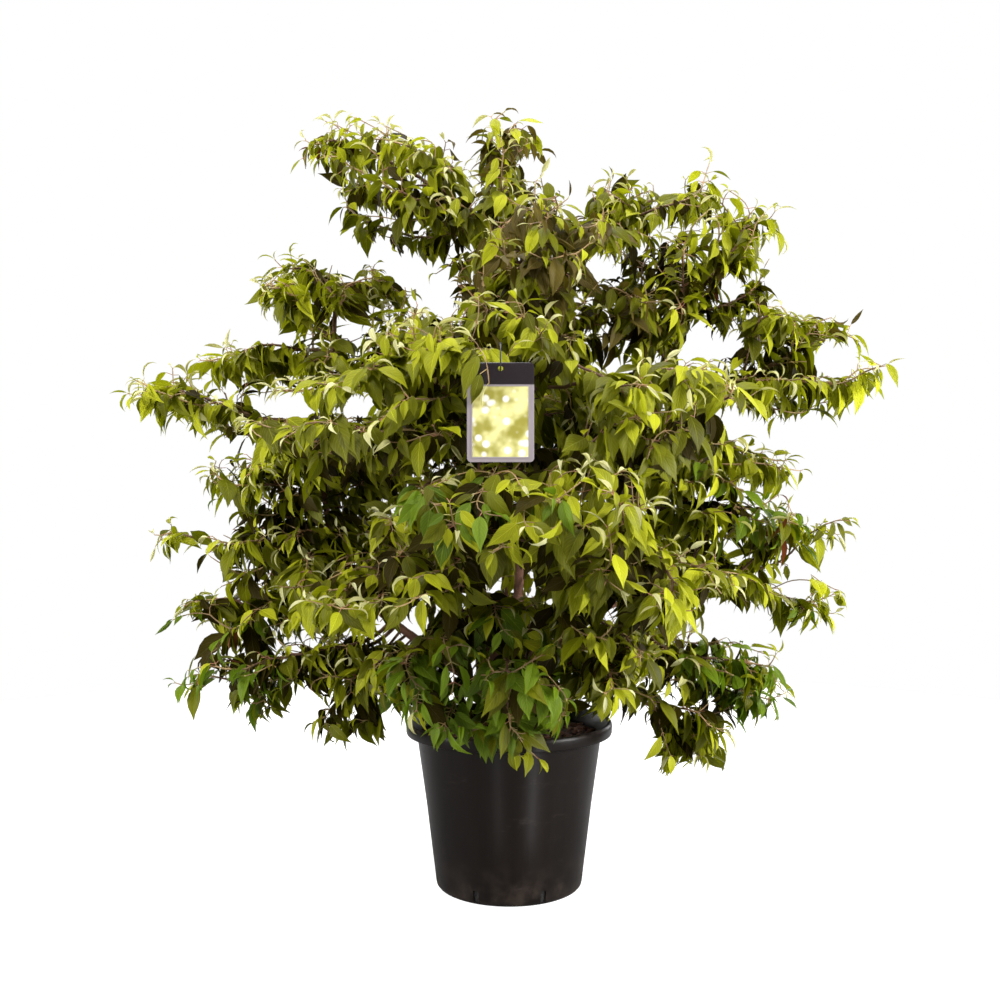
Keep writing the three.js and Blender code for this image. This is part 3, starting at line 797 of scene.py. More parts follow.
# %% Gaps
# middle X and Z, half width, half height
GAPS = [
    (-0.430, 1.545, 0.075, 0.040), (-0.330, 1.535, 0.050, 0.024), (-0.250, 1.494, 0.050, 0.028),
    (-0.180, 1.450, 0.045, 0.032), (-0.475, 1.690, 0.045, 0.045), (-0.105, 1.795, 0.022, 0.026),
    (0.475, 1.318, 0.062, 0.038), (0.570, 1.120, 0.045, 0.028), (0.720, 1.098, 0.100, 0.034),
    (0.565, 0.628, 0.085, 0.030), (0.500, 0.662, 0.032, 0.028), (0.745, 1.412, 0.085, 0.024),
    (0.750, 0.930, 0.055, 0.050), (-0.700, 0.908, 0.050, 0.020), (-0.710, 1.060, 0.040, 0.025),
    (-0.690, 1.215, 0.040, 0.014), (-0.785, 0.975, 0.034, 0.038), (-0.620, 1.345, 0.045, 0.026),
    (-0.375, 1.348, 0.040, 0.022), (-0.365, 1.160, 0.060, 0.028), (-0.560, 1.160, 0.080, 0.026),
    (-0.240, 0.617, 0.032, 0.020), (-0.750, 0.608, 0.062, 0.030), (-0.505, 0.430, 0.055, 0.038),
    (-0.705, 0.460, 0.045, 0.028), (-0.365, 0.322, 0.050, 0.026), (-0.285, 0.395, 0.020, 0.040),
    (0.250, 0.665, 0.034, 0.024), (0.540, 0.817, 0.030, 0.016), (0.785, 1.290, 0.055, 0.026),
    (0.325, 0.365, 0.042, 0.042), (0.175, 1.675, 0.022, 0.036), (0.385, 1.697, 0.030, 0.032),
    (0.225, 1.500, 0.042, 0.026), (0.540, 1.450, 0.022, 0.022), (-0.780, 0.800, 0.050, 0.018),
    (-0.800, 0.545, 0.030, 0.050), (0.051, 1.737, 0.028, 0.024), (0.150, 1.638, 0.020, 0.020),
    (0.637, 1.542, 0.030, 0.018), (-0.170, 1.408, 0.042, 0.026), (0.540, 1.302, 0.036, 0.024),
    (0.745, 1.256, 0.035, 0.014), (0.800, 1.250, 0.036, 0.014), (-0.480, 1.156, 0.032, 0.018),
    (0.690, 1.590, 0.030, 0.025), (-0.650, 1.068, 0.042, 0.022), (-0.635, 1.440, 0.030, 0.028),
    (0.510, 1.128, 0.036, 0.024), (-0.885, 0.818, 0.024, 0.028), (-0.740, 0.860, 0.058, 0.016),
    (-0.735, 0.738, 0.026, 0.028), (0.715, 0.770, 0.036, 0.022), (0.700, 0.712, 0.040, 0.016),
    (0.545, 0.668, 0.030, 0.018), (0.490, 0.615, 0.030, 0.018), (0.690, 0.962, 0.026, 0.016),
    (-0.785, 0.722, 0.028, 0.018), (0.690, 0.517, 0.030, 0.026), (0.445, 0.262, 0.040, 0.022),
]
# the same, and the Y at which the hollow ends
HOLLOWS = [
    (0.130, 1.165, 0.055, 0.062, -0.30), (0.075, 1.030, 0.045, 0.026, -0.30),
    (-0.190, 0.662, 0.060, 0.022, -0.25), (0.010, 0.725, 0.060, 0.028, -0.25),
    (0.165, 0.520, 0.030, 0.045, -0.15), (0.178, 0.380, 0.042, 0.036, -0.10),
]


def in_gap(point, ease=1.0):
    """Whether a point lies in a gap, or in a hollow, as the camera sees it."""
    share = -CAMERA_PLACE[1] / (point[1] - CAMERA_PLACE[1])
    x, z = (CAMERA_PLACE[k] + (point[k] - CAMERA_PLACE[k]) * share for k in (0, 2))

    def within(middle_x, middle_z, width, height):
        return ((x - middle_x) / (width * ease)) ** 2 + ((z - middle_z) / (height * ease)) ** 2 < 1

    if any(within(*gap) for gap in GAPS):
        return True
    return any(point[1] < back and within(*hollow) for *hollow, back in HOLLOWS)


print(len(GAPS), "gaps,", len(HOLLOWS), "hollows")

# %% [markdown]
# ## Where the shoots want to go
# Every shoot of a shrub grows towards light that no other shoot has taken. Points are thrown into the
# masses and kept only if they are far enough from every point kept before: close together where the crown
# is open to the light, and far apart inside. These are the places that shoots grow to.

# %% Goals for the shoots
LITRES = 1000  # in a cubic metre
TRIES_PER_LITRE = 30.0
FEWEST_TRIES = 60  # in a tuft
OPEN_SPACING = 0.030
INNER_SPACING = 0.066
HANGING_ROOM = 0.034  # leaves hang this far below the shoot
OPENNESS_WEIGHT = 3  # where a third of the steps come out, the crown counts as fully open
NEIGHBOURS = [(dx, dy, dz) for dx in (-1, 0, 1) for dy in (-1, 0, 1) for dz in (-1, 0, 1)]


def thrown_goals():
    """Places for the tips of shoots, no two of them closer than the spacing there."""
    kept = []
    cells = {}
    tuft_boxes = [(middle - radius * ONES, middle + radius * ONES, 0.0) for middle, radius in TUFTS]
    for low, high, room in [(*box, HANGING_ROOM) for box, _ in masses] + tuft_boxes:
        sides = high - low
        tries = max(FEWEST_TRIES, int(sides.x * sides.y * sides.z * LITRES * TRIES_PER_LITRE))
        for point in chance.uniform(np.array(low) - WOBBLE, np.array(high) + WOBBLE, (tries, 3)):
            goal = Vector(point)
            if in_gap(goal) or not in_foliage(goal) or not in_foliage(goal - UP * room):
                continue
            closed = 1 - min(1, openness(goal) * OPENNESS_WEIGHT)
            spacing = OPEN_SPACING + (INNER_SPACING - OPEN_SPACING) * closed
            cell = (goal / INNER_SPACING).to_tuple(0)
            near = []
            for move in NEIGHBOURS:
                near += cells.get(tuple(c + m for c, m in zip(cell, move)), [])
            if all((goal - other).length > spacing for other in near):
                cells.setdefault(cell, []).append(goal)
                kept.append(goal)
    return kept


goals = thrown_goals()
print(len(goals), "goals for shoots")

# %% [markdown]
# ## Growing the twigs
# The twigs grow in rounds. In each round every goal pulls at the nearest piece of wood, and each piece of
# wood that is pulled grows one short step the way it is pulled, keeping some of its own direction, as a
# shoot does. A goal that has been reached stops pulling. The first wood is the middle line of every limb.

# %% Growth in rounds
STEP = 0.018
REACHED = 0.024
KEEP_WAY = 0.55
UPWARD_PULL = 0.10
MOST_ROUNDS = 110
AIR_CROSSED = 0.020  # a shoot goes no further than this out of the foliage
LEAST_MOVE = 0.35  # share of a step that new wood keeps from all other wood


class Wood:
    """Points of wood, each with the point that it grew from, and whether it lies on a limb."""

    def __init__(self):
        self.places = []
        self.parents = []
        self.ways = []
        self.limb = []

    def add(self, place, parent, way, limb=False):
        self.places.append(place)
        self.parents.append(parent)
        self.ways.append(way)
        self.limb.append(limb)
        return len(self.places) - 1


def limb_wood(wood):
    for node in LIMB_NODES:
        middles, _ = limb_lines[node]
        way = Vector(unit(middles[1] - middles[0]))
        last = wood.add(Vector(middles[0]), -1, way, True)
        for a, b in zip(middles[:-1], middles[1:]):
            pieces = max(1, round(np.linalg.norm(b - a) / STEP))
            for k in range(pieces):
                way = Vector(unit(b - a))
                last = wood.add(Vector(a + (b - a) * (k + 1) / pieces), last, way, True)


def one_round(wood, wanted):
    tree = kdtree.KDTree(len(wood.places))
    for index, place in enumerate(wood.places):
        tree.insert(place, index)
    tree.balance()
    pulls = {}
    still = []
    for goal in wanted:
        place, index, distance = tree.find(goal)
        if distance > REACHED:
            pulls[index] = pulls.get(index, Vector()) + (goal - place).normalized()
            still.append(goal)
    grown = 0
    for index, pull in pulls.items():
        keep = 0.0 if wood.limb[index] else KEEP_WAY
        way = (pull.normalized() + wood.ways[index] * keep + UP * UPWARD_PULL).normalized()
        place = wood.places[index] + way * STEP
        open_air = in_gap(place) or not in_foliage(place, AIR_CROSSED)
        if tree.find(place)[2] > STEP * LEAST_MOVE and (wood.limb[index] or not open_air):
            wood.add(place, index, way)
            grown += 1
    return still, grown


wood = Wood()
limb_wood(wood)
limb_points = len(wood.places)
wanted = goals
for _ in range(MOST_ROUNDS):
    wanted, grown = one_round(wood, wanted)
    if not grown or not wanted:
        break
print(limb_points, "points on limbs,", len(wood.places) - limb_points, "on twigs")
print(len(wanted), "goals not reached")

# %% [markdown]
# A twig that has grown in steps is still crooked. Every point is moved part of the way to the middle of its
# neighbours a few times. Its thickness follows from how many shoots it carries, as in real wood, where the
# area of a branch is about the sum of the areas of its twigs.

# %% Smooth twigs and their thickness
TIP_RADIUS = 0.0013
AREA_RULE = 0.44
SMOOTH_PASSES = 3

places = np.array(wood.places)
parents = np.array(wood.parents)
on_limb = np.array(wood.limb)
children = [[] for _ in places]
for index, parent in enumerate(parents):
    if parent >= 0:
        children[parent].append(index)
movable = np.array([not on_limb[i] and len(children[i]) > 0 for i in range(len(places))])
for _ in range(SMOOTH_PASSES):
    heirs = np.array([places[c].mean(0) if c else places[i] for i, c in enumerate(children)])
    smoothed = places * 0.5 + places[np.maximum(parents, 0)] * 0.25 + heirs * 0.25
    places = np.where(movable[:, None], smoothed, places)

carried = np.zeros(len(places))
for index in range(len(places) - 1, -1, -1):
    if not on_limb[index]:
        carried[index] = max(carried[index], 1)
        carried[parents[index]] += carried[index]
radii = TIP_RADIUS * np.maximum(carried, 1) ** AREA_RULE
tips = [i for i in range(len(places)) if not on_limb[i] and not children[i]]
print(len(tips), "tips; thickest branch", round(float(radii[~on_limb].max()) * 2000, 1), "mm across")

# %% [markdown]
# ## Twigs as a mesh
# Each step of wood becomes a short tube between two rings. A ring belongs to its point, so that steps share
# it and the tube has no seams. Older, thicker wood gets more sides than young shoots. The two ages are
# pieces of their own, because they have different bark: brown and rough, or smooth and pale straw with a
# reddish side.

# %% Tubes along the wood
YOUNG_RADIUS = 0.0024
FOOT_WIDENING = 1.25  # a twig starts no more than this much thicker than it goes on
TIP_NARROWING = 0.75
CONE_LENGTH = 1.5  # in radii of the tip


def ring_of(aside, above, sides):
    """For each row, unit vectors all round in the plane of its two vectors."""
    turn = np.arange(sides) * 2 * math.pi / sides
    return np.cos(turn)[None, :, None] * aside[:, None] + np.sin(turn)[None, :, None] * above[:, None]


def rings_at(chain, sides):
    """The places of a chain, a ring of unit vectors round each, and the ways the chain goes."""
    at = places[chain]
    ways = unit(np.gradient(at, axis=0))
    reference = np.where(np.abs(ways[:, 2:3]) > 0.9, [[1.0, 0, 0]], [[0, 0, 1.0]])
    aside = unit(np.cross(ways, reference))
    above = np.cross(aside, ways)
    return at, ring_of(aside, above, sides), ways


def tubes(chains, sides):
    """A tube along each chain, closed by a small cone at its tip."""
    corners, walls, cones = [], [], []
    count = 0
    here = np.arange(sides)
    after = (here + 1) % sides
    for chain in chains:
        at, ring, ways = rings_at(chain, sides)
        widths = radii[chain].copy()
        widths[0] = min(widths[0], widths[1] * FOOT_WIDENING)
        widths[-1] *= TIP_NARROWING
        body = at[:, None] + ring * widths[:, None, None]
        tip = at[-1] + ways[-1] * widths[-1] * CONE_LENGTH
        corners.append(body.reshape(-1, 3))
        corners.append(tip[None])
        rows = count + np.arange(len(chain) - 1)[:, None] * sides
        wall = np.stack([rows + here, rows + after, rows + sides + after, rows + sides + here], -1)
        walls.append(wall.reshape(-1, 4))
        last = count + (len(chain) - 1) * sides
        cones.append(np.stack([last + here, last + after, np.full(sides, last + sides)], -1))
        count += len(chain) * sides + 1
    return np.concatenate(corners), [np.concatenate(walls), np.concatenate(cones)]


def twig_chains():
    """Runs of wood out to the tips. A fork's thickest twig goes on with the run, the others start anew."""
    chains = []
    starts = [(parent, i) for i, parent in enumerate(parents) if not on_limb[i] and on_limb[parent]]
    while starts:
        parent, index = starts.pop()
        chain = [parent, index]
        while children[index]:
            ordered = sorted(children[index], key=lambda c: -carried[c])
            starts += [(index, other) for other in ordered[1:]]
            index = ordered[0]
            chain.append(index)
        chains.append(chain)
    return chains


def split_by_age(chains):
    old, young = [], []
    for chain in chains:
        thick = [k for k in range(len(chain)) if radii[chain[k]] > YOUNG_RADIUS or on_limb[chain[k]]]
        cut = min(max(thick, default=0) + 1, len(chain) - 1)
        if cut >= 2:
            old.append(chain[:cut + 1])
        else:
            cut = 0
        if len(chain) - cut >= 2:
            young.append(chain[cut:])
    return old, young


old_chains, young_chains = split_by_age(twig_chains())
print(len(old_chains), "older branches,", len(young_chains), "young shoots")


# %% The twigs' finishes
def old_twig():
    finish = Finish("branch_bark")
    where = finish.place()
    fine = finish.noise(where, 420, 4, 0.6)
    broad = finish.noise(where, 14, 2)
    colour = finish.mix(fine, (0.050, 0.022, 0.012), (0.170, 0.080, 0.042))
    colour = finish.mix(broad.between(0.4, 0.65) * 0.6, colour, (0.200, 0.110, 0.060))
    return finish.done(finish.surface(Base_Color=colour, Roughness=0.75, Normal=finish.bump(fine, 0.0006)))


def young_twig():
    finish = Finish("young_shoot")
    where = finish.place()
    broad = finish.noise(where, 9, 2)
    fine = finish.noise(where, 300, 3)
    colour = finish.mix(broad.between(0.38, 0.62), (0.330, 0.215, 0.085), (0.180, 0.110, 0.040))
    colour = finish.mix(fine.between(0.5, 0.75) * 0.5, colour, (0.160, 0.055, 0.028))
    return finish.done(finish.surface(Base_Color=colour, Roughness=0.55, Normal=finish.bump(fine, 0.0003)))


for name, chains, sides, finish in (
    ("branches", old_chains, 6, old_twig()),
    ("young_shoots", young_chains, 4, young_twig()),
):
    corners, faces = tubes([np.array(c) for c in chains], sides)
    hand_over(joined_mesh(name, corners, faces, finish), name, [])

# %% [markdown]
# ## One leaf
# A viburnum leaf is a long oval with a drip tip. The blade is folded a little along its midrib, and each
# half bellies up between the sunken side veins. It is modelled flat: a strip of a grid whose rows are
# narrowed to the leaf's outline in edit mode. Leaves that face the light get four columns of faces, and
# those that are small or in the shade two. Fold, belly, curl and twist come later, different for every
# copy.

# %% The flat leaf
# for each row: how far along the leaf it lies, and half the width there, both as shares of the length
LEAF_ROWS = [
    (0.000, 0.005), (0.090, 0.108), (0.240, 0.196), (0.420, 0.216),
    (0.620, 0.158), (0.820, 0.055), (1.000, 0.003),
]
PARKED = 2  # finished rows wait this far along, clear of the rows still to do
WELD = 0.012  # points of the narrow ends that are closer than this become one
row_along, row_half = np.array(LEAF_ROWS).T


def flat_leaf(columns):
    """The leaf as arrays: points, faces, and for each point its row and its share of the way to the edge."""
    alone(floor)
    strips = len(LEAF_ROWS) - 1
    bpy.ops.mesh.primitive_grid_add(x_subdivisions=columns, y_subdivisions=strips, size=1, location=(0, 0, 0))
    leaf = bpy.context.object
    bpy.ops.object.mode_set(mode="EDIT")
    for row, (along_leaf, half_width) in enumerate(LEAF_ROWS):
        row_place = row / strips - 0.5
        select_where(leaf, "vertices", lambda at, here=row_place: abs(at.y - here) < NEAR)
        bpy.ops.transform.resize(value=(half_width / 0.5, 1, 1))
        bpy.ops.transform.translate(value=(0, along_leaf + PARKED - row_place, 0))
    bpy.ops.mesh.select_all(action="SELECT")
    bpy.ops.transform.translate(value=(0, -PARKED, 0))
    bpy.ops.mesh.remove_doubles(threshold=WELD)
    bpy.ops.mesh.quads_convert_to_tris()
    bpy.ops.object.mode_set(mode="OBJECT")
    points = np.array([v.co.xy for v in leaf.data.vertices])
    faces = np.array([tuple(p.vertices) for p in leaf.data.polygons])
    row = np.argmin(np.abs(points[:, 1:] - row_along), axis=1)
    share = np.abs(points[:, 0]) / row_half[row]
    bpy.data.objects.remove(leaf)
    print("leaf with", columns, "columns:", len(points), "points", len(faces), "triangles")
    return points, faces, row, share


FINE_LEAF = flat_leaf(4)
PLAIN_LEAF = flat_leaf(2)

# %% [markdown]
# ## A leaf's finish
# All leaves of one kind share one sheet of leaf patterns, laid out eight by eight, and the sixty-four differ
# in tone. The pattern is worked out from the leaf's own map alone: how far across the blade a spot is gives
# the pale midrib, and lines that sweep forward from it give the sunken side veins. Some light comes through
# a leaf, so a share of the surface lets it pass.

# %% Leaf kinds
# the two darkest kinds, which are mostly painted shade, and have less sheen
PAINTED_SHADE_KINDS = ("shade", "core")
LEAF_CELLS = 8
VEINS = 8.5
VEIN_SWEEP = 0.95
THROUGH = 0.26  # share of the surface that lets light through

# The shade kind is painted shade where it is dealt to shoots in the shade of the crown, and a duller tone
# among lit leaves; the darkest kind, after it, is painted shade only, for the dark heart of the crown.
# name: darker tone, lighter tone, light through the blade, roughness
LEAF_KINDS = {
    "young": ((0.370, 0.348, 0.105), (0.800, 0.775, 0.430), (0.560, 0.555, 0.130), 0.48),
    "fresh": ((0.136, 0.145, 0.004), (0.480, 0.490, 0.013), (0.470, 0.520, 0.009), 0.46),
    "grown": ((0.036, 0.0335, 0.0006), (0.170, 0.178, 0.002), (0.220, 0.256, 0.002), 0.42),
    "lush": ((0.034, 0.056, 0.002), (0.160, 0.240, 0.007), (0.180, 0.310, 0.008), 0.42),
    "shade": ((0.010, 0.0062, 0.0005), (0.042, 0.031, 0.001), (0.050, 0.044, 0.001), 0.46),
    "core": ((0.006, 0.0036, 0.0004), (0.020, 0.0125, 0.0005), (0.022, 0.0155, 0.0005), 0.52),
    "bronze": ((0.034, 0.022, 0.004), (0.125, 0.094, 0.012), (0.145, 0.110, 0.010), 0.46),
    "russet": ((0.070, 0.022, 0.010), (0.180, 0.075, 0.022), (0.240, 0.060, 0.020), 0.50),
}


def leaf_finish(name):
    dark, light, through, gloss = LEAF_KINDS[name]
    finish = Finish("leaf_" + name)
    sheet = finish.node("ShaderNodeUVMap", {"uv_map": "OFBake"})
    u, v, _ = finish.parts(sheet)
    column, row = u * LEAF_CELLS, v * LEAF_CELLS
    across = (column.math("FRACT") - 0.5).math("ABSOLUTE") * 2.0
    along = row.math("FRACT")
    cell = finish.node("ShaderNodeCombineXYZ", None, {0: column.math("FLOOR"), 1: row.math("FLOOR")})
    tone = finish.node("ShaderNodeTexWhiteNoise", {"noise_dimensions": "2D"}, {"Vector": cell})
    midrib = 1 - across.between(0.02, 0.075)
    sweep = (along - across * VEIN_SWEEP * 0.4) * VEINS
    vein = 1 - (sweep.math("FRACT") - 0.5).math("ABSOLUTE").between(0.0, 0.16)
    blotch = finish.noise(finish.stretched(sheet, (60, 60, 60)), 1.0, 3)
    edge = across.between(0.82, 1.0)
    colour = finish.mix(tone * 0.75 + blotch * 0.3, dark, light)
    paler = tuple(min(1.0, c * 1.5 + 0.02) for c in light)
    colour = finish.mix(vein * 0.30 + edge * 0.16, colour, paler)
    colour = finish.mix(midrib * 0.65, colour, paler)
    relief = finish.bump(1 - vein * 0.8 - midrib, 0.0010, 0.8)
    gloss = gloss + blotch * 0.12
    sheen = 0.08 if name in PAINTED_SHADE_KINDS else 0.16
    face = finish.surface(Base_Color=colour, Roughness=gloss, Normal=relief, Specular_IOR_Level=sheen)
    glow = finish.node("ShaderNodeBsdfTranslucent", None, {"Color": (*through, 1)})
    return finish.done(finish.node("ShaderNodeMixShader", None, {0: THROUGH, 1: face, 2: glow}))


leaf_finishes = {name: leaf_finish(name) for name in LEAF_KINDS}
print(len(leaf_finishes), "kinds of leaf")

# %% [markdown]
# ## Where each leaf sits
# Leaves of this shrub stand in opposite pairs along each shoot, closer together near the tip.

# %% A shoot and the places of its pairs
PAIR_PLACES = (0.002, 0.030, 0.064, 0.100, 0.138)  # from the tip
SHOOT_LENGTH = 0.18  # no leaves further back than this


def shoot_of(tip):
    """The points of a shoot from its tip backwards, and how far each is from the tip."""
    run = [Vector(places[tip])]
    gone = [0.0]
    index = tip
    while not on_limb[parents[index]] and gone[-1] < SHOOT_LENGTH:
        index = parents[index]
        gone.append(gone[-1] + (Vector(places[index]) - run[-1]).length)
        run.append(Vector(places[index]))
    return run, gone


def along_shoot(run, gone, distance):
    """A place on the shoot and the way that the shoot grows there."""
    for k in range(len(run) - 1):
        if gone[k + 1] >= distance:
            share = (distance - gone[k]) / (gone[k + 1] - gone[k])
            return run[k].lerp(run[k + 1], share), (run[k] - run[k + 1]).normalized()
    return None


# %% [markdown]
# The last pair of a shoot is young and pale. The older a pair, the darker it is. A spray deep in the crown,
# or with little sky over it, is dealt darker kinds still: painted shade, on top of the shade the crown casts.
# Some sprays near the top are bronze, a few anywhere are russet, and low ones may be a purer green.

# %% The kind of a leaf
# Shoots with less of the crown open round them, or less sky over them, are dealt darker kinds of leaf:
# painted shade, on top of the shade that the crown itself casts. A leaf seen from outside loses some of it
# again.
CORE = 0.05  # a shoot less open than this is in the dark heart of the crown
DEEP = 0.18  # and one less open than this in the shade of the others
DIM = 0.30  # a shoot with less sky than this over it has duller leaves
SEEN = 0.45  # a leaf more open than this is seen from outside
BRONZE_SHARE = 0.4  # of the leaves of a bronze spray
LUSH_SHARE = 0.7  # of the leaves of a lush spray
# for every pair from the tip on: kinds, each with the limit below which a number drawn between 0 and 1 deals
# it, and the last kind for the rest
# the rows for shoots in the dark heart, in the shade and in dim light deal painted shade
IN_CORE = [("shade", limit, "core") for limit in (0.5, 0.35, 0.25, 0.2, 0.2)]
IN_SHADE = [("grown", limit, "shade") for limit in (0.5, 0.35, 0.25, 0.15, 0.1)]
IN_DIM_LIGHT = [("fresh", limit, "grown", 0.65, "shade") for limit in (0.45, 0.25, 0.12, 0.05, 0.0)]
OLDER_IN_LIGHT = ("fresh", 0.42, "grown", 0.86, "shade")
IN_LIGHT = [("young", 0.80, "fresh"), ("fresh", 0.72, "grown"), *[OLDER_IN_LIGHT] * 3]
RUSSET_SPRAY = ("russet", 0.5, "bronze")


def dealt(pick, row):
    for kind, limit in zip(row[::2], row[1::2]):
        if pick < limit:
            return kind
    return row[-1]


def leaf_kind(pair, spray):
    pick = chance.random()
    if spray["russet"]:
        return dealt(pick, RUSSET_SPRAY)
    if spray["bronze"] and pick < BRONZE_SHARE:
        return "bronze"
    if spray["openly"] < CORE:
        return dealt(pick, IN_CORE[pair])
    if spray["openly"] < DEEP:
        return dealt(pick, IN_SHADE[pair])
    if spray["lush"] and pick < LUSH_SHARE:
        return "lush"
    return dealt(pick, (IN_DIM_LIGHT if spray["light"] < DIM else IN_LIGHT)[pair])


def lit_kind(kind, openly):
    """A leaf dealt painted shade that hangs out into the light is given a lighter kind than the others on its
    shoot.
    """
    if kind == "core" and openly > CORE:
        return "shade"
    if kind == "shade" and openly > SEEN:
        return "grown"
    return kind


# %% [markdown]
# A young leaf stands ahead on a short stalk: it is narrow, folded and curled over. An older one stands out
# to the side and hangs from its stalk with the upper face outwards. Leaves grow larger in the shade, and
# smaller on the young top of the shrub. No leaf hangs in a gap or before the label, apart from the label's
# left part.

# %% One leaf on its stalk
PAIR_LENGTHS = (0.042, 0.057, 0.066, 0.070, 0.072)
LENGTH_RANGE = (0.58, 1.38)  # of the pair's own length
SHADE_LENGTHENING = 1.2
SMALL_LEAVES_ABOVE = 1.42
SMALL_SHARE = 0.88
CROWN_HEART = Vector((0, 0, 0.95))
FLATTER = Vector((1, 1, 0.3))  # leaves turn outwards more than up or down
START_LIFT = 0.12  # a leaf first grows a little upwards
FACE_LIFT = 0.15  # and its upper face turns a little to the sky
AXIS_STRAY = 0.2
OUTWARD_STRAY = 0.45
FACE_STRAY = 0.22
TWIST_STRAY = 0.25
TAG_LOW, TAG_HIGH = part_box("tag")
LABEL_COVERED = 0.048  # width of the label's left part that leaves may hang over
LABEL_CLEAR = 0.03  # leaves stay this far above and below the rest of it
YOUNG_LEAF = {
    "stalk": (0.006, 0.010), "ahead": 0.75, "aside": 0.55, "droop": (0.0, 0.35),
    "width": (0.40, 0.85), "curl": (0.5, 2.2), "fold": (0.4, 1.0),
}
OLDER_LEAF = {
    "stalk": (0.011, 0.019), "ahead": 0.42, "aside": 0.9, "droop": (0.35, 1.0),
    "width": (0.88, 1.16), "curl": (0.10, 0.95), "fold": (0.08, 0.45),
}
leaves = {name: [] for name in LEAF_KINDS}
stalks = []


def stray(amount):
    return Vector(chance.normal(0, amount, 3))


def leaf_length(pair, height, openly):
    length = PAIR_LENGTHS[pair] * chance.uniform(*LENGTH_RANGE)
    if openly < DEEP:
        length *= SHADE_LENGTHENING
    return length * (SMALL_SHARE if height > SMALL_LEAVES_ABOVE else 1.0)


def before_label(point):
    """Whether a leaf there would hide the label from the front."""
    if point.y > TAG_HIGH.y + 0.01:
        return False
    across = TAG_LOW.x + LABEL_COVERED < point.x < TAG_HIGH.x + 0.02
    return across and TAG_LOW.z - LABEL_CLEAR < point.z < TAG_HIGH.z + LABEL_CLEAR


def grow_leaf(foot, way, side, pair, kind, openly):
    habit = OLDER_LEAF if pair else YOUNG_LEAF
    stalk = chance.uniform(*habit["stalk"])
    start = (way * habit["ahead"] + side * habit["aside"] + UP * START_LIFT).normalized()
    droop = chance.uniform(*habit["droop"])
    axis = (start * (1 - droop * 0.75) - UP * droop + stray(AXIS_STRAY)).normalized()
    base = foot + (start * 0.8 + axis * 0.2).normalized() * stalk
    outwards = ((base - CROWN_HEART) * FLATTER).normalized()
    outwards = (outwards + stray(OUTWARD_STRAY)).normalized()
    steep = abs(axis.z) ** 0.7
    facing = UP * (1 - steep) + outwards * steep + UP * FACE_LIFT + stray(FACE_STRAY)
    above = (facing - axis * facing.dot(axis)).normalized()
    length = leaf_length(pair, base.z, openly)
    middle = base + axis * length * 0.5
    if in_gap(middle, 0.9) or in_gap(base + axis * length, 0.8) or before_label(middle):
        return
    if kind in PAINTED_SHADE_KINDS:
        kind = lit_kind(kind, openness(middle))
    shape = [chance.uniform(*habit[key]) for key in ("width", "curl", "fold")]
    twist = chance.normal(0, TWIST_STRAY)
    leaves[kind].append((*base, *axis, *above, length, *shape, twist))
    stalks.append((*foot, *base))


# %% [markdown]
# Each pair is turned against the one before it, and strays a little from its place. Some shoots have lost
# their oldest pair.

# %% Dressing every shoot
LAST_PAIR_SHARE = 0.55  # of the shoots still carry the oldest pair
BRONZE_ABOVE = 1.35  # sprays above this height may be bronze
BRONZE_RARITY = 0.5
LUSH_BELOW = 0.95  # sprays below this height may be purer green
LUSH_RARITY = 0.75
RUSSET_SHARE = 0.006  # of all sprays
PLACE_STRAY = (0.85, 1.15)  # of a pair's distance from the tip
PAIR_ROLL = 0.35
ROLL_STRAY = 0.3
UPRIGHT = 0.2  # a shoot that leans less than this has no level side of its own


def spray_at(place):
    """What decides the looks of a shoot's leaves. Slow waves through the crown make patches of odd sprays."""
    bronze_patch = math.sin(place.x * 7 + 1) + math.sin(place.z * 11 + place.y * 5)
    lush_patch = math.sin(place.x * 9 + 2) + math.sin(place.z * 13 + 1)
    return {
        "openly": openness(place),
        "light": openness(place, SKY_PROBES),
        "bronze": place.z > BRONZE_ABOVE and bronze_patch > BRONZE_RARITY,
        "russet": chance.random() < RUSSET_SHARE,
        "lush": place.z < LUSH_BELOW and place.y < 0 and lush_patch > LUSH_RARITY,
    }


def side_of_pair(way, pair, turn):
    """The way that one leaf of a pair stands out, square to the shoot; the other stands opposite."""
    flat = way.cross(UP)
    flat = flat.normalized() if flat.length > UPRIGHT else Vector((math.cos(turn), math.sin(turn), 0))
    roll = (PAIR_ROLL if pair % 2 else -PAIR_ROLL) + chance.normal(0, ROLL_STRAY)
    return flat * math.cos(roll) + way.cross(flat) * math.sin(roll)


def dress_shoot(tip):
    run, gone = shoot_of(tip)
    spray = spray_at(run[0])
    turn = chance.uniform(0, math.pi)
    for pair, distance in enumerate(PAIR_PLACES):
        spot = along_shoot(run, gone, distance * chance.uniform(*PLACE_STRAY))
        if spot is None or (distance == PAIR_PLACES[-1] and chance.random() > LAST_PAIR_SHARE):
            break
        foot, way = spot
        side = side_of_pair(way, pair, turn)
        for hand in (1, -1):
            grow_leaf(foot, way, side * hand, pair, leaf_kind(pair, spray), spray["openly"])


for tip in tips:
    dress_shoot(tip)
print({name: len(rows) for name, rows in leaves.items()}, "leaves,", len(stalks), "stalks")

# %% [markdown]
# ## Dealing the leaves out
# Every leaf is bent from the flat one: its rows turn further and further down along the blade, the halves
# fold up from the midrib and belly a little, and the tip twists. The sums run over all the leaves of a kind
# at once.

# %% Leaves as joined meshes
BELLY = 0.16
CURL_GROWTH = 1.5
CELL_HALF = 0.46  # of a cell's width, that half a leaf fills at most
CELL_EDGE = 0.02  # of a cell's length, left free at either end
LEAST_HALF = 0.02  # half width that the pointed ends count as, at least
MOST_PER_PIECE = 180000  # triangles
FINE_KINDS = ("fresh", "grown", "lush", "bronze")


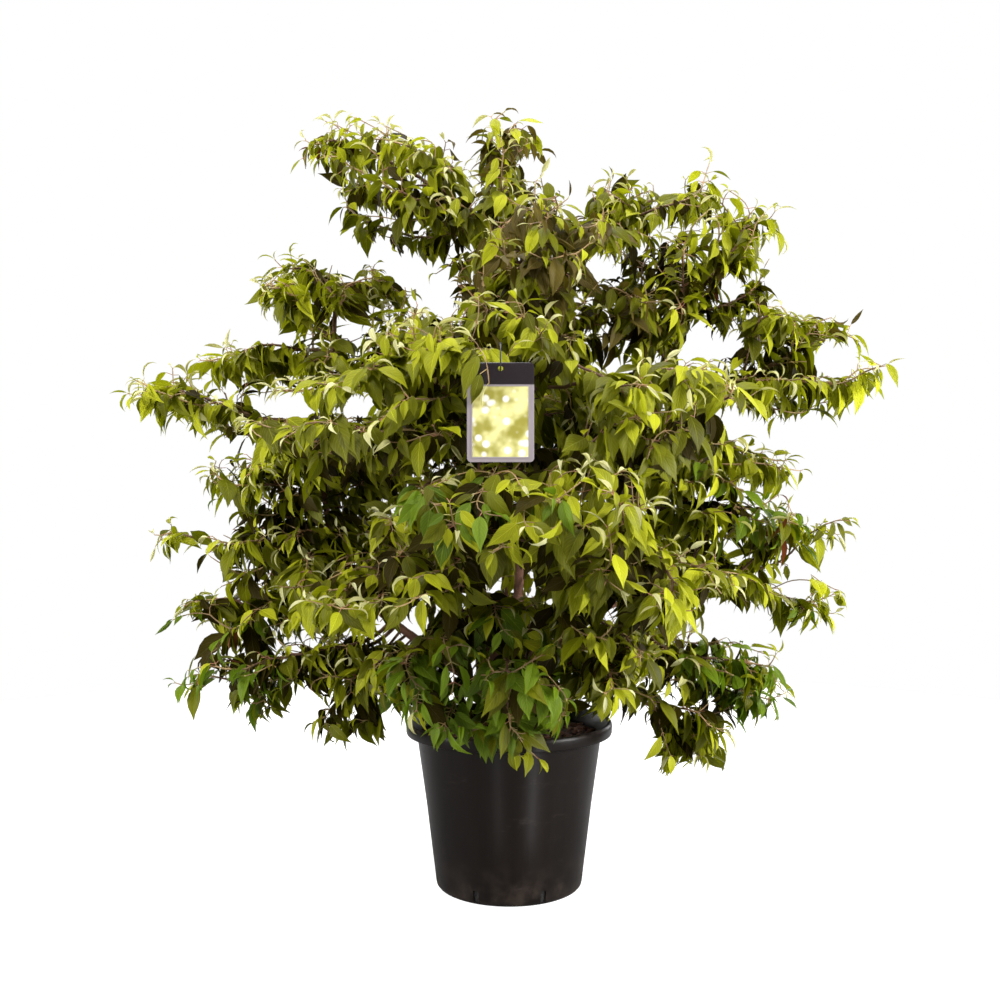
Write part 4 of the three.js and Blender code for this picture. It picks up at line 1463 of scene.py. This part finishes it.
def leaf_corners(rows, shape):
    """The corners of all the leaves of the rows: bent, folded and put in their places."""
    leaf_flat, _, leaf_row, leaf_share = shape
    rows = np.array(rows)
    base, axis, above = rows[:, None, 0:3], rows[:, None, 3:6], rows[:, None, 6:9]
    length, width, curl, fold, twist = rows[:, 9:].T[..., None]
    turns = curl * ((row_along[1:] + row_along[:-1]) / 2) ** CURL_GROWTH
    steps = np.diff(row_along)
    start = np.zeros((len(rows), 1))
    forward = np.concatenate([start, np.cumsum(np.cos(turns) * steps, 1)], 1)
    downward = np.concatenate([start, np.cumsum(np.sin(turns) * steps, 1)], 1)
    sideways = leaf_flat[:, 0] * width * np.cos(fold)
    belly = BELLY * row_half[leaf_row] * leaf_share * (1 - leaf_share) * 4
    lift = np.abs(leaf_flat[:, 0]) * width * np.sin(fold) + belly + sideways * twist * leaf_flat[:, 1]
    tilt = (curl * row_along ** CURL_GROWTH)[:, leaf_row]
    ahead = forward[:, leaf_row] + lift * np.sin(tilt)
    height = -downward[:, leaf_row] + lift * np.cos(tilt)
    offset = np.cross(axis, above) * sideways[..., None] + axis * ahead[..., None] + above * height[..., None]
    return base + offset * length[:, None]


def leaf_map(count, shape):
    """Each leaf takes one of the cells of the sheet and fills most of it."""
    leaf_flat, leaf_faces, leaf_row, _ = shape
    half = row_half[leaf_row]
    u = leaf_flat[:, 0] / np.maximum(half, LEAST_HALF) * np.minimum(1, half / row_half.max() + 0.25)
    inner = np.stack([0.5 + u * CELL_HALF, CELL_EDGE + leaf_flat[:, 1] * (1 - 2 * CELL_EDGE)], 1)
    cells = chance.integers(0, LEAF_CELLS, (count, 2))
    spots = (cells[:, None] + inner[None]) / LEAF_CELLS
    return spots[:, leaf_faces.ravel()].reshape(-1, 2)


for kind, rows in leaves.items():
    shape = FINE_LEAF if kind in FINE_KINDS else PLAIN_LEAF
    parts = math.ceil(len(rows) * len(shape[1]) / MOST_PER_PIECE)
    rows.sort(key=lambda row: row[2])
    for part in range(parts):
        share = rows[part * len(rows) // parts:(part + 1) * len(rows) // parts]
        corners = leaf_corners(share, shape)
        faces = copied_faces(shape[1], len(share), corners.shape[1])
        name = f"leaves_{kind}_{part + 1}"
        marks = leaf_map(len(share), shape)
        thing = joined_mesh(name, corners.reshape(-1, 3), [faces], leaf_finishes[kind], marks)
        hand_over(thing, name, MASS_NODES)


# %% Leaf stalks
def stalk_finish():
    finish = Finish("leaf_stalk")
    tint = finish.noise(finish.place(), 22, 2)
    colour = finish.mix(tint.between(0.4, 0.62), (0.360, 0.330, 0.090), (0.330, 0.130, 0.075))
    return finish.done(finish.surface(Base_Color=colour, Roughness=0.5))


STALK_RADIUS = 0.00085
STALK_SIDES = np.array([(0, 1, 4, 3), (1, 2, 5, 4), (2, 0, 3, 5)])

ends = np.array(stalks)
foot, head = ends[:, :3], ends[:, 3:]
way = unit(head - foot)
aside = unit(np.cross(way, [[0.31, 0.17, 0.93]]))  # square to an odd direction that no stalk lies along
ring = STALK_RADIUS * ring_of(aside, np.cross(way, aside), 3)
corners = np.concatenate([foot[:, None] + ring * 1.2, head[:, None] + ring], 1)
faces = copied_faces(STALK_SIDES, len(ends), 6)
stalk_mesh = joined_mesh("leaf_stalks", corners.reshape(-1, 3), [faces], stalk_finish())
hand_over(stalk_mesh, "leaf_stalks", [])

# %% [markdown]
# ## The plant label
# A label is a sheet of plastic with a rounded outline, a punched hole and a raised frame round its picture,
# and it hangs by a thin strap that is looped through the hole and round a twig. The sheet starts as a plane.
# Its corners are rounded by a vertex bevel, and an inset gives it a soft edge. The frame is a second plane
# with its middle taken out. The picture is a soft pattern of pale rounds, drawn by the material.

# %% The label's sheet
TAG_MIDDLE = (TAG_LOW + TAG_HIGH) / 2
TAG_SIZE = TAG_HIGH - TAG_LOW
TAG_CORNER = 0.008
TAG_HOLE = 0.005
TAG_HOLE_DROP = 0.012
HEADER_HEIGHT = 0.042

alone(floor)
bpy.ops.mesh.primitive_plane_add(size=1, location=(0, 0, 0))
label = bpy.context.object
bpy.ops.object.mode_set(mode="EDIT")
bpy.ops.transform.resize(value=(TAG_SIZE.x, TAG_SIZE.z, 1))
bpy.ops.mesh.bevel(offset=TAG_CORNER, segments=6, affect="VERTICES")
bpy.ops.mesh.extrude_region_move(TRANSFORM_OT_translate={"value": (0, 0, TAG_SIZE.y * 0.7)})
bpy.ops.mesh.inset(thickness=0.0016)
bpy.ops.transform.translate(value=(0, 0, TAG_SIZE.y * 0.3))
bpy.ops.mesh.select_all(action="SELECT")
bpy.ops.mesh.normals_make_consistent(inside=False)
bpy.ops.object.mode_set(mode="OBJECT")
bpy.ops.object.select_all(action="DESELECT")
hole_place = (0, TAG_SIZE.z / 2 - TAG_HOLE_DROP, 0)
bpy.ops.mesh.primitive_cylinder_add(vertices=24, radius=TAG_HOLE, depth=0.02, location=hole_place)
cut_away(label, bpy.context.object)
print("label sheet", len(label.data.polygons), "faces")

# %% A raised frame round the picture
FRAME_WIDE = 0.0032
PICTURE_WIDE = TAG_SIZE.x - 0.022
PICTURE_HIGH = TAG_SIZE.z - HEADER_HEIGHT - 0.014
PICTURE_DROP = -(HEADER_HEIGHT - 0.006) / 2
PICTURE_BLUR = 0.0008

alone(floor)
bpy.ops.mesh.primitive_plane_add(size=1, location=(0, 0, 0))
ridge = bpy.context.object
bpy.ops.object.mode_set(mode="EDIT")
bpy.ops.transform.resize(value=(PICTURE_WIDE + 2 * FRAME_WIDE, PICTURE_HIGH + 2 * FRAME_WIDE, 1))
bpy.ops.mesh.bevel(offset=0.004, segments=4, affect="VERTICES")
bpy.ops.mesh.inset(thickness=FRAME_WIDE)
bpy.ops.mesh.delete(type="FACE")
bpy.ops.object.mode_set(mode="OBJECT")
modify(ridge, "SOLIDIFY", thickness=0.0009, offset=0)
modify(ridge, "BEVEL", width=0.0003)
ridge.location = (0, PICTURE_DROP, TAG_SIZE.y + 0.0002)
print("raised frame", len(ridge.data.polygons), "faces")


# %% The label's finish
def label_plastic():
    """Dark header, pale frame, and a generic picture of soft pale rounds on yellow-green."""
    finish = Finish("label_plastic")
    where = finish.place()
    x, _, z = finish.parts(where)
    inside = 1
    for place, middle, size in (
        (x, TAG_MIDDLE.x, PICTURE_WIDE),
        (z, TAG_MIDDLE.z + PICTURE_DROP, PICTURE_HIGH),
    ):
        distance = (place - middle).math("ABSOLUTE")
        inside = inside * (1 - distance.between(size / 2 - PICTURE_BLUR, size / 2 + PICTURE_BLUR))
    header = z.between(TAG_HIGH.z - HEADER_HEIGHT - 0.002, TAG_HIGH.z - HEADER_HEIGHT + 0.001)
    smooth = {"feature": "SMOOTH_F1"}
    rounds = finish.node("ShaderNodeTexVoronoi", smooth, {"Vector": where, "Scale": 46.0, "Smoothness": 0.3})
    petals = 1 - rounds.between(0.22, 0.42)
    wash = finish.noise(where, 26, 2).between(0.35, 0.65)
    field = finish.mix(wash, (0.300, 0.270, 0.050), (0.720, 0.680, 0.300))
    field = finish.mix(petals * 0.85, field, (0.920, 0.890, 0.840))
    colour = finish.mix(inside, (0.270, 0.235, 0.250), field)
    colour = finish.mix(header * (1 - inside), colour, (0.020, 0.015, 0.017))
    gloss = 0.18 + finish.noise(finish.stretched(where, (300, 20, 40)), 1.0, 3) * 0.12
    shader = finish.surface(Base_Color=colour, Roughness=gloss, Coat_Weight=0.5, Coat_Roughness=0.08)
    return finish.done(shader)


join_to(label, [ridge])
label.rotation_euler = (math.radians(90), 0, 0)
label.location = (TAG_MIDDLE.x, TAG_HIGH.y, TAG_MIDDLE.z)
label.data.materials.clear()
label.data.materials.append(label_plastic())
hand_over(label, "plant_label", ["tag"])

# %% [markdown]
# The strap is a flat band, bent to a closed loop, with the small lock that its tail is pulled through.

# %% The strap
LOOP_LOW, LOOP_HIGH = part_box("tag_loop")
LOOP_MIDDLE = (LOOP_LOW + LOOP_HIGH) / 2
STRAP_WIDE = 0.0028
STRAP_THICK = 0.0011
LOCK_SIZE = (0.0055, 0.006, 0.0050)
loop_radius = (LOOP_HIGH.z - LOOP_LOW.z) / 2 - 0.0015

alone(floor)
bpy.ops.mesh.primitive_torus_add(
    location=LOOP_MIDDLE, rotation=(0, math.radians(90), 0), major_segments=64, minor_segments=8,
    major_radius=loop_radius, minor_radius=STRAP_WIDE / 2,
)
strap = bpy.context.object
bpy.ops.object.transform_apply(location=True, rotation=True, scale=True)
for vertex in strap.data.vertices:
    out = Vector((0, *(vertex.co - LOOP_MIDDLE).yz))
    thinned = loop_radius + (out.length - loop_radius) * STRAP_THICK / STRAP_WIDE
    vertex.co = Vector((vertex.co.x, *(LOOP_MIDDLE + out.normalized() * thinned).yz))
bpy.ops.object.select_all(action="DESELECT")
bpy.ops.mesh.primitive_cube_add(size=1, scale=LOCK_SIZE, location=LOOP_MIDDLE + UP * loop_radius)
lock = bpy.context.object
modify(lock, "BEVEL", width=0.001, segments=2)
join_to(strap, [lock])
bpy.ops.object.shade_smooth_by_angle(angle=math.radians(40))


def strap_plastic():
    finish = Finish("strap_plastic")
    ribs = finish.noise(finish.place(), 700, 2)
    colour = finish.mix(ribs, (0.010, 0.010, 0.010), (0.024, 0.023, 0.022))
    return finish.done(finish.surface(Base_Color=colour, Roughness=0.42, Normal=finish.bump(ribs, 0.0002)))


strap.data.materials.append(strap_plastic())
hand_over(strap, "label_strap", ["tag_loop"])
